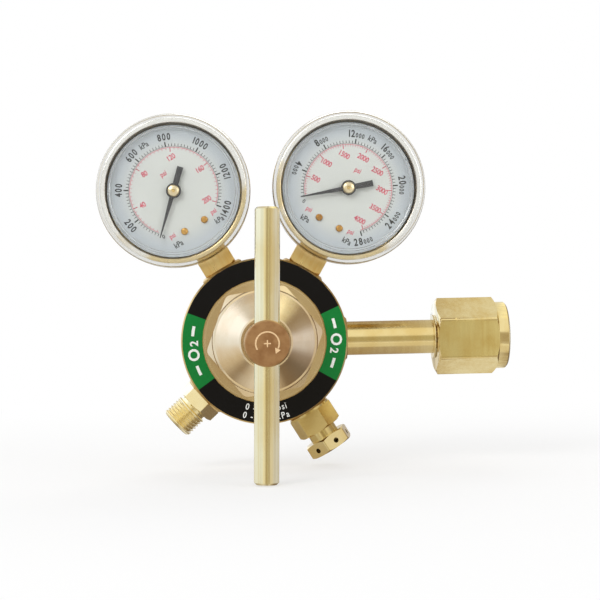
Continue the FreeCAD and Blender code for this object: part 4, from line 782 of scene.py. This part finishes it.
def curved_word(parts, radius, clock, tops_out, material, bold=0.0, gap=0.12, narrow=1.0):
    """Letters set one by one along a circle. Parts are (letters, size), on one line."""
    largest = max(size for letters, size in parts)
    glyphs = []
    for letters, size in parts:
        for letter in letters:
            if letter == " ":
                glyphs.append((None, 0.35 * size, size))
                continue
            mesh = lettering(letter, size, Matrix.Identity(4), material, bold, 1.0, narrow)
            ends = [vertex.co.x for vertex in mesh.vertices]
            glyphs.append((mesh, max(ends) - min(ends) + gap * size, size))
    done = -sum(width for mesh, width, size in glyphs) / 2
    way = 1 if tops_out else -1
    meshes = []
    for mesh, width, size in glyphs:
        turn = clock + way * math.degrees((done + width / 2) / radius)
        done += width
        if mesh is None:
            continue
        drop = CAPITAL_SHARE / 2 * (size - largest)
        ends = [vertex.co.x for vertex in mesh.vertices]
        middle = (max(ends) + min(ends)) / 2
        mesh.transform(on_circle(radius, turn, tops_out)
                       @ Matrix.Translation((-middle, drop, 0)))
        meshes.append(mesh)
    return meshes


def arc_band(inner, outer, first, last, material, thickness=PRINT_THICKNESS):
    """A flat band along part of a circle, between two clock angles in degrees."""
    steps = max(2, int((last - first) / 1.5))
    made = bmesh.new()
    rows = []
    for step in range(steps + 1):
        angle = math.radians(first + (last - first) * step / steps)
        rows.append([made.verts.new((reach * math.sin(angle), reach * math.cos(angle), height))
                     for reach, height in ((inner, 0.0), (inner, thickness),
                                           (outer, thickness), (outer, 0.0))])
    for before, after in zip(rows, rows[1:]):
        for k in range(4):
            made.faces.new((before[k], before[(k + 1) % 4], after[(k + 1) % 4], after[k]))
    made.faces.new(rows[0])
    made.faces.new(reversed(rows[-1]))
    bmesh.ops.recalc_face_normals(made, faces=made.faces)
    return made_mesh(made, "band", material)


def on_circle(radius, clock, tops_out=True, level=False):
    """Matrix of a word on a circle; clock is in degrees, clockwise from +Y."""
    angle = math.radians(clock)
    spot = Matrix.Translation((radius * math.sin(angle), radius * math.cos(angle), 0))
    if level:
        return spot
    turn = -angle if tops_out else math.pi - angle
    return spot @ Matrix.Rotation(turn, 4, "Z")


class RegulatorFinish(bpy.types.PropertyGroup):
    """Colours and sizes that a user would change."""
    brass: bpy.props.FloatVectorProperty(
        name="Brass", description="Colour of the clean turned brass", subtype="COLOR",
        size=4, min=0.0, max=1.0, default=linear(238, 222, 176))
    brass_shade: bpy.props.FloatVectorProperty(
        name="Brass shade", description="Colour of the brass where it has tarnished",
        subtype="COLOR", size=4, min=0.0, max=1.0, default=linear(226, 200, 138))
    bonnet: bpy.props.FloatVectorProperty(
        name="Bonnet", description="Colour of the bonnet's metal", subtype="COLOR",
        size=4, min=0.0, max=1.0, default=linear(238, 220, 190))
    light: bpy.props.FloatProperty(
        name="Light", description="Strength of the soft boxes, in watts each for the key",
        default=7.0, min=0.0, max=60.0)
    lens_roundness: bpy.props.FloatProperty(
        name="Lens roundness", description="Radius of the gauge lens's outer front edge",
        default=1.5 * MM, min=0.1 * MM, max=3 * MM, unit="LENGTH")
    hose_pitch: bpy.props.FloatProperty(
        name="Hose thread pitch", description="Distance between the hose thread's crests",
        default=1.41 * MM, min=0.5 * MM, max=3 * MM, unit="LENGTH")


def finish():
    return bpy.context.scene.regulator_finish


def paint_nodes(material, *names):
    for name in names:
        for slot in NODES[name].material_slots:
            slot.material = material


class REGULATOR_OT_brass(bpy.types.Operator):
    """Give the turned, drawn and forged brass pieces their finishes"""
    bl_idname = "regulator.brass"
    bl_label = "Brass pieces"

    def execute(self, context):
        look = finish()
        brass, shade = tuple(look.brass), tuple(look.brass_shade)
        paint_nodes(cast_metal("forged_brass", linear(226, 200, 146), linear(200, 166, 104),
                               0.34), "body")
        paint_nodes(bonnet_metal(tuple(look.bonnet)), "bonnet")
        paint_nodes(drawn_bar("bar_brass", linear(240, 230, 194), linear(230, 212, 162), 0.22),
                    "t_bar")
        # lit and shaded copies of the brass: the outlet's paler brass is painted light, for the
        # dark it mirrors, and the relief body's darker brass is painted shade
        pale, lit_outlet_tarnish = linear(252, 242, 208), linear(246, 228, 176)
        shaded_relief_brass, shaded_relief_tarnish = linear(224, 204, 148), linear(204, 176, 108)
        for name, kind, colour, tarnish, roughness, ring, groove, nodes in (
                ("nipple_brass", "inlet", brass, shade, 0.17, 2.0, 0.006, ("inlet_nipple",)),
                ("outlet_brass", "outlet", pale, lit_outlet_tarnish, 0.24, 1.2, 0.010,
                 ("outlet_fitting",)),
                ("relief_brass", "relief", shaded_relief_brass, shaded_relief_tarnish, 0.2, 1.2, 0.010, ("relief_body",)),
                ("relief_cap_brass", "relief", brass, shade, 0.18, 1.2, 0.010, ("relief_cap",)),
                ("back_brass", "screw", brass, shade, 0.24, 1.1, 0.010,
                 ("back_cap", "nozzle", "diaphragm_plate", "seat_holder")),
                ("poppet_brass", "relief", brass, shade, 0.3, 1.1, 0.010, ("relief_poppet",))):
            paint_nodes(turned_metal(name, kind, colour, tarnish, roughness, ring * MM,
                                     groove * MM), *nodes)
        return {"FINISHED"}


class REGULATOR_OT_inner_parts(bpy.types.Operator):
    """Give the springs, seals, steel parts and the filter their finishes"""
    bl_idname = "regulator.inner_parts"
    bl_label = "Inner parts"

    def execute(self, context):
        paint_nodes(steel("plated_steel", linear(205, 205, 208), 0.3), "spring_button",
                    "slip_ring", "valve_stem")
        paint_nodes(steel("spring_steel", linear(150, 150, 156), 0.35), "adjusting_spring",
                    "return_spring", "relief_spring")
        paint_nodes(rubber("diaphragm_rubber", linear(52, 50, 50)), "diaphragm")
        paint_nodes(rubber("seal_rubber", linear(40, 40, 42)), "relief_seal", "back_cap_seal")
        paint_nodes(rubber("seat_plastic", linear(222, 218, 200)), "seat_disc")
        paint_nodes(sintered("sintered_bronze"), "inlet_filter")
        return {"FINISHED"}


class REGULATOR_OT_label_ring(bpy.types.Operator):
    """Paint the ring round the bonnet and lay its plain marks on it"""
    bl_idname = "regulator.label_ring"
    bl_label = "Printed ring"

    def execute(self, context):
        paint_nodes(label_print(), "label_ring")
        white = ink("ring_ink", linear(244, 246, 244), linear(214, 222, 214))
        face = -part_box("label_ring")[0].y
        meshes = []
        for clock in (93.0, 263.0):
            meshes += curved_word([("O", 6.4 * MM), ("2", 4.6 * MM)], 29.75 * MM, clock, True,
                                  white, 0.026, 0.2)
            for side in (-1, 1):
                ends = sorted((clock + side * 12, clock + side * 20))
                meshes.append(arc_band(29.1 * MM, 30.3 * MM, *ends, white))
        for word, radius in (("0 - 200 psi", 27.9 * MM), ("0 - 1400 kPa", 31.5 * MM)):
            meshes += curved_word([(word, 3.7 * MM)], radius, 180, False, white, 0.01, 0.14, 0.85)
        place(joined(meshes, "ring_marks"), facing_front(SCREW, face), "label_ring_marks",
              None, "regulator", "label")
        return {"FINISHED"}


class REGULATOR_OT_gauges(bpy.types.Operator):
    """Finish both gauges: case, socket, dial print, pointer, screws and lens"""
    bl_idname = "regulator.gauges"
    bl_label = "Dial gauges"

    SCALES = {
        "low_gauge": {"zero": 42.6, "per_kpa": 272.6 / 1379, "major": 200, "last": 1400,
                      "skipped": 2, "small_zeros": False, "psi_major": 40, "psi_last": 200},
        "high_gauge": {"zero": 43.6, "per_kpa": 268.0 / 27579, "major": 4000, "last": 28000,
                       "skipped": 2, "small_zeros": True, "psi_major": 500, "psi_last": 4000},
    }
    KPA_PER_PSI = 6.89476

    def ticks(self, scale, black, red):
        """Black ticks outside the circle and red ticks inside it. As on many such dials the
        pointer rests a little way up the scale, so that its first ticks are left out."""
        start = 180 + scale["zero"]
        rows = [(scale["last"], scale["major"], scale["per_kpa"], 18.6, 1.1, 2.0, 0.24, 0.52,
                 black, True),
                (scale["psi_last"], scale["psi_major"], scale["per_kpa"] * self.KPA_PER_PSI,
                 18.1, 0.9, 1.8, 0.15, 0.34, red, False)]
        meshes = []
        for last, major, rate, reach, short, long, fine, thick, colour, outward in rows:
            for share, length, width in ((1, long, thick), (10, short, fine)):
                first = 1 if share == 1 else scale["skipped"]
                step = major / share * rate
                inner = reach if outward else reach - length
                meshes.append(grow("dial_ticks", tick_tree, {
                    "Count": round(last / major * share) - first + 1,
                    "First Angle": math.radians(start + first * step),
                    "Step Angle": math.radians(step),
                    "Inner Radius": inner * MM, "Length": length * MM, "Width": width * MM,
                    "Thickness": PRINT_THICKNESS * (1.0 if outward else 0.9),
                    "Material": colour}))
        return meshes

    def numbers(self, scale, black, red):
        """Numbers: the black ones follow the circle, the red ones stand level."""
        start = 180 + scale["zero"]
        meshes = [lettering("0", 2.3 * MM, on_circle(19.2 * MM, start + 1.0, level=True), black,
                            0.01)]
        value = scale["major"]
        while value <= scale["last"]:
            clock = (start + value * scale["per_kpa"]) % 360
            tops_out = clock < 90 or clock > 270
            text = str(value)
            parts = [(text, 3.9 * MM)]
            if scale["small_zeros"]:
                parts = [(text[:-3], 4.1 * MM), (text[-3:], 2.7 * MM)]
            meshes += curved_word(parts, 22.7 * MM, clock, tops_out, black, 0.030, 0.12, 0.76)
            value += scale["major"]
        value = scale["psi_major"]
        while value <= scale["psi_last"]:
            clock = start + value * self.KPA_PER_PSI * scale["per_kpa"]
            meshes.append(lettering(str(value), 3.1 * MM, on_circle(14.0 * MM, clock, level=True),
                                    red, 0.020, 0.95, 0.84))
            value += scale["psi_major"]
        return meshes

    def circles(self, scale, black, red):
        """The thin circles that carry the ticks."""
        start = 180 + scale["zero"]
        first = start + scale["major"] * scale["per_kpa"] / 10 * scale["skipped"]
        end = start + scale["last"] * scale["per_kpa"]
        return [arc_band(18.52 * MM, 18.66 * MM, first, end, black),
                arc_band(18.0 * MM, 18.2 * MM, first, end, red)]

    def units(self, black, red):
        spots = [("kPa", 22.5, 358, 3.3, black), ("psi", 8.4, 0, 3.0, red),
                 ("psi", 18.4, 213, 2.8, red), ("kPa", 21.9, 206, 3.3, black),
                 ("psi", 18.2, 148, 2.8, red), ("kPa", 22.0, 153, 3.3, black)]
        return [lettering(word, size * MM, on_circle(reach * MM, clock, level=True), colour,
                          0.015, 1.0, 0.84) for word, reach, clock, size, colour in spots]

    def lens(self, gauge, plastic, centre):
        """Clear lens with rounded edges, standing for the plain solid."""
        inner, lip, skirt_end = 19.1 * MM, 17.1 * MM, 12.5 * MM
        lip_inside, lip_outside, skirt_inside = 25.4 * MM, 26.3 * MM, 30.1 * MM
        fine, soft = 0.25 * MM, 0.3 * MM
        profile = rounded([
            (0.0, inner), (lip_inside, inner), (lip_inside, lip, fine), (lip_outside, lip, fine),
            (lip_outside, inner, soft), (skirt_inside, inner, soft), (skirt_inside, skirt_end),
            (LENS_RADIUS, skirt_end, soft), (LENS_RADIUS, LENS_FRONT, finish().lens_roundness),
            (0.0, LENS_FRONT)])
        mesh = lathe(profile, 160)
        piece = place(mesh, facing_front(centre, 0.0), gauge + "_clear_lens", plastic,
                      "regulator", "clear_lens", [gauge + "_lens"])
        piece.visible_shadow = False

    def screws(self, gauge, centre, tilt, gilt, bolt):
        """Slotted screws of the dial, at the front, and of the case, at the back."""
        reach, spread = 17.2 * MM, math.radians(16)
        rows = [("dial_screws", reach * math.sin(spread), -reach * math.cos(spread), 1.45 * MM,
                 0.9 * MM, 0.4 * MM, DIAL_AHEAD, False, gilt),
                ("case_screws", 4.2 * MM, -23.0 * MM, 2.1 * MM, 1.3 * MM, 0.5 * MM,
                 -8.15 * MM, True, bolt)]
        for name, side, drop, radius, height, slot, ahead, back, paint in rows:
            seed = bpy.data.meshes.new("screw_spots")
            seed.from_pydata([(side, drop, 0), (-side, drop, 0)], [], [])
            mesh = grow("screw_heads", screw_head_tree, {
                "Radius": radius, "Height": height, "Slot Width": slot,
                "Slot Depth": height * 0.5, "Slot Angle": 0.6, "Material": paint}, seed)
            smooth(mesh, 40)
            matrix = facing_front(centre, ahead, tilt)
            if back:
                matrix = matrix @ Matrix.Rotation(math.pi, 4, "Y")
            place(mesh, matrix, gauge + "_slotted_" + name, paint, "regulator",
                  "turned_brass" if not back else "steel", [gauge + "_" + name])

    def execute(self, context):
        black = ink("dial_black", linear(18, 20, 24), linear(44, 46, 50))
        red = ink("dial_red", linear(204, 66, 92), linear(216, 104, 124))
        pointer = ink("pointer_black", linear(42, 42, 46), linear(62, 62, 66))
        movement = steel("movement_brass", linear(226, 196, 130), 0.3)
        bronze = steel("tube_bronze", linear(206, 160, 112), 0.32)
        bolt = steel("plated_screw", linear(200, 200, 204), 0.3)
        gilt = cast_metal("dial_screw_brass", linear(214, 164, 84), linear(176, 122, 48), 0.35)
        for gauge, scale in self.SCALES.items():
            centre = gauge_centre(gauge)
            tilt = math.radians(PORT_ANGLES[gauge] - 90)
            port = ground_metal(gauge + "_socket_brass", gauge, linear(254, 232, 178),
                                linear(242, 206, 136), 0.32)
            paint_nodes(port, gauge + "_socket")
            paint_nodes(case_metal(gauge), gauge + "_case")
            paint_nodes(hub_metal(gauge), gauge + "_pointer_hub")
            paint_nodes(dial_paint(gauge), gauge + "_dial")
            paint_nodes(pointer, gauge + "_pointer")
            paint_nodes(bronze, gauge + "_bourdon_tube", gauge + "_hairspring")
            paint_nodes(movement, *[gauge + "_" + n for n in (
                "tube_tip", "movement_back_plate", "movement_front_plate", "movement_posts",
                "pinion", "sector", "link")])
            meshes = (self.ticks(scale, black, red) + self.numbers(scale, black, red)
                      + self.units(black, red) + self.circles(scale, black, red))
            place(joined(meshes, "dial_print"), facing_front(centre, DIAL_AHEAD, tilt),
                  gauge + "_dial_print", None, "regulator", "dial_face")
            self.screws(gauge, centre, tilt, gilt, bolt)
            self.lens(gauge, lens_plastic(gauge), centre)
        return {"FINISHED"}


def threaded_copy(node, axis, crest, depth, pitch, ends, body, slot, material, name,
                  inside=False):
    """A copy of a solid's mesh whose plain cylinder carries a real thread instead."""
    start, end = ends
    matrix = along_axis(axis)
    back = matrix.inverted()
    made = bmesh.new()
    made.from_mesh(NODES[node].data)
    bmesh.ops.remove_doubles(made, verts=made.verts, dist=1e-6)

    slack = 0.02 * MM

    def on_cylinder(vert):
        spot = back @ vert.co
        return (abs(math.hypot(spot.y, spot.z) - crest) < slack
                and start - slack < spot.x < end + slack)

    plain = [face for face in made.faces if all(on_cylinder(v) for v in face.verts)
             and abs((back.to_3x3() @ face.normal).x) < 0.2]
    bmesh.ops.delete(made, geom=plain, context="FACES")
    shell = made_mesh(made, name + "_shell")
    shell.materials.clear()
    shell.materials.append(material)
    turns = (end - start) / pitch
    thread = grow("screw_thread", thread_tree, {
        "Crest Radius": crest, "Depth": depth, "Pitch": pitch, "Start": start, "End": end,
        "Run Out": pitch * 0.6, "Around": 97, "Along": int(turns * 12) + 1,
        "Material": material})
    if inside:
        thread.flip_normals()
    thread.transform(matrix)
    mesh = flat_faces(joined([shell, thread], name))
    return place(mesh, Matrix.Identity(4), name, material, body, slot, [node])


class REGULATOR_OT_threads(bpy.types.Operator):
    """Cut the hose thread, the adjusting screw's thread and the nut's inner thread"""
    bl_idname = "regulator.threads"
    bl_label = "Threads"

    def execute(self, context):
        look = finish()
        brass, shade = tuple(look.brass), tuple(look.brass_shade)
        outlet = NODES["outlet_fitting"].material_slots[0].material
        threaded_copy("outlet_fitting", "outlet", 7.14 * MM, 0.75 * MM, look.hose_pitch,
                      OUTLET_THREAD, "regulator", "turned_brass", outlet, "hose_outlet")
        threaded_copy("adjusting_screw", "screw", 6.3 * MM, 0.7 * MM, 1.5 * MM, SCREW_THREAD,
                      "screw", "screw_brass", head_metal(), "threaded_adjusting_screw")
        threaded_copy("inlet_nut", "inlet", 10.5 * MM, -0.65 * MM, 1.81 * MM, NUT_THREAD,
                      "nut", "turned_brass", self.nut_metal(brass, shade), "cylinder_nut",
                      inside=True)
        return {"FINISHED"}

    def nut_metal(self, brass, shade):
        """Satin nut with milled flats, a small ding in one of them and turned ends."""
        paint = Paint("nut_brass", metallic=1.0)
        streaks = paint.noise(700.0, 3.0, None, (1.0, 1.0, 0.05))
        tarnish = paint.noise(70.0, 5.0)
        mask = (tarnish * 0.75 + streaks * 0.25).step(0.36, 0.68)
        ding = paint.distance((-22.5 * MM, -14.6 * MM, 7.4 * MM))
        hollow = 1.0 - ding.step(0.2 * MM, 0.8 * MM)
        return paint.coat(paint.mixed(mask, brass, shade),
                          0.15 + (tarnish - 0.5) * 0.12 + (streaks - 0.5) * 0.1 + hollow * 0.2,
                          streaks * 0.05 + tarnish * 0.2 - hollow, 0.25 * MM, 0.5)


class REGULATOR_OT_head_mark(bpy.types.Operator):
    """Lay the generic turning mark on the adjusting screw's head"""
    bl_idname = "regulator.head_mark"
    bl_label = "Mark on the screw's head"

    FIRST, LAST = -120, 115

    def tip(self, material):
        """The arrow's tip, at the clockwise end of its arc."""
        made = bmesh.new()
        corners = [(3.2 * MM, -0.2 * MM), (5.55 * MM, -0.2 * MM), (4.375 * MM, -2.2 * MM)]
        flat = [made.verts.new((x, y, MARK_THICKNESS)) for x, y in corners]
        deep = [made.verts.new((x, y, 0.0)) for x, y in corners]
        made.faces.new(flat)
        made.faces.new(reversed(deep))
        for k in range(3):
            after = (k + 1) % 3
            made.faces.new((flat[k], deep[k], deep[after], flat[after]))
        bmesh.ops.recalc_face_normals(made, faces=made.faces)
        mesh = made_mesh(made, "tip", material)
        mesh.transform(Matrix.Rotation(math.pi / 2 - math.radians(self.LAST), 4, "Z"))
        return mesh

    def execute(self, context):
        pale = ink("head_mark", linear(226, 192, 146), linear(206, 168, 122))
        face = -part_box("adjusting_screw")[0].y
        meshes = [arc_band(4.1 * MM, 4.65 * MM, self.FIRST, self.LAST, pale, MARK_THICKNESS),
                  self.tip(pale), lettering("+", 5.6 * MM, Matrix.Identity(4), pale)]
        place(joined(meshes, "turn_mark"), facing_front(SCREW, face), "screw_head_mark",
              None, "screw", "screw_brass")
        return {"FINISHED"}


class REGULATOR_OT_stage(bpy.types.Operator):
    """Set the pale floor, the soft light and the camera"""
    bl_idname = "regulator.stage"
    bl_label = "Floor, light and camera"

    PANELS = (
        (-180, (0.95, 1.04, 1.16)), (-165, (0.80, 0.77, 0.70)), (-150, (0.68, 0.62, 0.48)),
        (-132, (0.34, 0.28, 0.20)), (-118, (0.60, 0.55, 0.46)), (-105, (0.80, 0.77, 0.70)),
        (-90, (0.46, 0.39, 0.26)), (-76, (0.62, 0.55, 0.42)), (-62, (0.23, 0.17, 0.11)),
        (-40, (0.20, 0.16, 0.12)), (-25, (0.32, 0.27, 0.23)), (-8, (0.70, 0.70, 0.74)),
        (6, (0.80, 0.80, 0.86)), (22, (0.42, 0.36, 0.28)), (36, (0.34, 0.27, 0.18)),
        (52, (0.80, 0.74, 0.50)), (64, (1.30, 1.26, 0.92)), (84, (0.84, 0.80, 0.70)),
        (104, (0.74, 0.70, 0.62)), (120, (0.72, 0.72, 0.72)), (138, (1.30, 1.40, 1.60)),
        (158, (1.25, 1.35, 1.55)), (180, (0.95, 1.04, 1.16)))
    GAP = ((0.03, 0.08, (0.52, 0.46, 0.28, 1)), (0.145, 0.176, (0.74, 0.71, 0.41, 1)),
           (0.178, 0.19, (0.98, 0.92, 0.62, 1)), (0.20, 0.22, (0.48, 0.40, 0.26, 1)))
    LENS_LENGTH, SENSOR = 86.2, 36.0
    CAMERA_SPOT, CAMERA_AIM = (-10.5, -612, 10.5), (15.79, 0, 16.77)
    CAMERA_ROLL = -1.25

    def floor(self):
        made = bmesh.new()
        bmesh.ops.create_grid(made, x_segments=1, y_segments=1, size=3.0)
        mesh = made_mesh(made, "floor")
        mesh.transform(Matrix.Translation((SCREW_X, 0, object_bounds()[0].z - 0.3 * MM)))
        plane = in_scene("floor", mesh)
        paint = Paint("pale_floor", roughness=0.9)
        mottle = paint.noise(6.0, 2.0)
        paint.set("Base Color", paint.mixed(mottle, (0.86, 0.86, 0.86, 1), (0.9, 0.9, 0.9, 1)))
        far = paint.distance((SCREW_X, 0.0, -53 * MM))
        white = paint.add("ShaderNodeEmission", {"Color": WHITE, "Strength": 1.0})
        path = paint.add("ShaderNodeLightPath")
        seen = (path["Is Camera Ray"] + path["Is Glossy Ray"]
                + path["Is Transmission Ray"]).clamped()
        share = seen * (0.55 + far.step(0.12, 0.45) * 0.45)
        mix = paint.add("ShaderNodeMixShader",
                        {0: share, 1: paint.shader.outputs[0], 2: white["Emission"]})
        paint.feed(paint.surface, mix["Shader"])
        mesh.materials.append(paint.material)
        plane.visible_glossy = False
        plane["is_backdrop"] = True

    def boxes(self, net, x, z):
        """The studio's front: soft boxes from left to right, dimmer low down, with the dim gap
        that the camera stands in and a dark line under it."""
        left = net.mixed(x.step(-0.75, -0.35), (0.88, 0.95, 1.0, 1), (1.02, 0.98, 0.80, 1))
        boxes = net.mixed(x.step(0.35, 0.75), left, (0.74, 0.68, 0.56, 1))
        boxes = net.mixed(z.step(-0.62, -0.5), (0.80, 0.73, 0.55, 1), boxes)
        gap = (x.step(-0.34, -0.16) * (1.0 - x.step(0.40, 0.62))
               * z.step(-0.40, -0.34) * (1.0 - z.step(0.10, 0.24)))
        dim = (0.42, 0.34, 0.20, 1)
        for low, high, colour in self.GAP:
            dim = net.mixed(x.step(low, high), dim, colour)
        line = z.step(-0.52, -0.46) * (1.0 - z.step(-0.40, -0.32)) * 0.6
        return net.mixed(line, net.mixed(gap, boxes, dim), (0.30, 0.21, 0.10, 1))

    def world(self):
        """White for the camera. Metal reflects a studio: soft boxes round the camera, pale
        and dark panels round the sides, and a brown wall with a pale end above and below."""
        world = bpy.data.worlds.new("studio")
        world.use_nodes = True
        world.cycles.sampling_method = "NONE"
        net = Network(world.node_tree)
        way = net.add("ShaderNodeTexCoord")["Generated"]
        x, y, z = net.parts(way)
        turn = z.math("ARCTAN2", x)
        panels = net.add("ShaderNodeValToRGB", {"Fac": turn / FULL_TURN + 0.5})
        ramp = panels.node.color_ramp
        ramp.interpolation = "EASE"
        for angle, colour in self.PANELS[1:-1]:
            ramp.elements.new(angle / 360 + 0.5)
        for stop, (angle, colour) in zip(ramp.elements, self.PANELS):
            stop.position = angle / 360 + 0.5
            stop.color = colour + (1.0,)
        behind = ((z * z).step(0.5, 0.7).math("MAXIMUM", y.step(0.3, 0.5))
                  * x.step(0.04, 0.06) * (1.0 - x.step(0.2, 0.25)))
        sides = net.mixed(x.step(0.12, 0.14), (0.40, 0.31, 0.21, 1), (0.86, 0.84, 0.72, 1))
        round_back = net.mixed(behind, panels["Color"], sides)
        studio = net.mixed((-y).step(0.36, 0.52), round_back, self.boxes(net, x, z))
        shiny = net.add("ShaderNodeBackground", {"Color": studio, "Strength": 1.0})
        matt = net.add("ShaderNodeBackground", {"Color": WHITE, "Strength": 0.72})
        white = net.add("ShaderNodeBackground", {"Color": WHITE})
        path = net.add("ShaderNodeLightPath")
        lit = net.add("ShaderNodeMixShader", {0: path["Is Glossy Ray"],
                                                    1: matt["Background"],
                                                    2: shiny["Background"]})
        seen = (path["Is Camera Ray"] + path["Is Transmission Ray"]).clamped()
        mix = net.add("ShaderNodeMixShader", {0: seen, 1: lit["Shader"], 2: white["Background"]})
        net.add("ShaderNodeOutputWorld", {"Surface": mix["Shader"]})
        bpy.context.scene.world = world

    def lamp(self, name, spot, size, power):
        light = bpy.data.lights.new(name, "AREA")
        light.size = size
        light.energy = power
        holder = in_scene(name, light)
        holder.location = SCREW + Vector(spot)
        aim = SCREW - holder.location
        holder.rotation_euler = aim.to_track_quat("-Z", "Y").to_euler()
        holder.visible_glossy = False

    def camera(self):
        """Nearly straight from the front, rolled a little as the photograph is."""
        data = bpy.data.cameras.new("camera")
        data.lens, data.sensor_width = self.LENS_LENGTH, self.SENSOR
        camera = in_scene("camera", data)
        spot = SCREW + Vector(self.CAMERA_SPOT) * MM
        aim = SCREW + Vector(self.CAMERA_AIM) * MM
        turn = (aim - spot).to_track_quat("-Z", "Y").to_matrix().to_4x4()
        camera.matrix_world = (Matrix.Translation(spot) @ turn
                               @ Matrix.Rotation(math.radians(self.CAMERA_ROLL), 4, "Z"))
        bpy.context.scene.camera = camera
        bpy.context.scene.view_settings.view_transform = "Standard"

    def execute(self, context):
        light = finish().light
        self.floor()
        self.world()
        self.lamp("key_softbox", (-0.75, -0.85, 0.85), 0.7, light)
        self.lamp("fill_softbox", (0.95, -0.7, 0.35), 0.7, light * 0.45)
        self.lamp("back_softbox", (0.2, 0.9, 0.8), 0.7, light * 0.5)
        self.camera()
        return {"FINISHED"}


class REGULATOR_PT_panel(bpy.types.Panel):
    """Buttons for each group of pieces"""
    bl_idname = "REGULATOR_PT_panel"
    bl_label = "Gas regulator"
    bl_space_type = "VIEW_3D"
    bl_region_type = "UI"
    bl_category = "Regulator"

    def draw(self, context):
        look = context.scene.regulator_finish
        for name in ("brass", "brass_shade", "bonnet", "light", "lens_roundness", "hose_pitch"):
            self.layout.prop(look, name)
        for step in STEPS:
            self.layout.operator(step.bl_idname)


STEPS = (REGULATOR_OT_stage, REGULATOR_OT_brass, REGULATOR_OT_inner_parts,
         REGULATOR_OT_label_ring, REGULATOR_OT_gauges, REGULATOR_OT_threads,
         REGULATOR_OT_head_mark)
CLASSES = (RegulatorFinish,) + STEPS + (REGULATOR_PT_panel,)


def register():
    for item in CLASSES:
        bpy.utils.register_class(item)
    bpy.types.Scene.regulator_finish = bpy.props.PointerProperty(type=RegulatorFinish)


def unregister():
    del bpy.types.Scene.regulator_finish
    for item in reversed(CLASSES):
        bpy.utils.unregister_class(item)


def main():
    register()
    for step in STEPS:
        group, name = step.bl_idname.split(".")
        getattr(getattr(bpy.ops, group), name)()


if __name__ == "__main__":
    main()
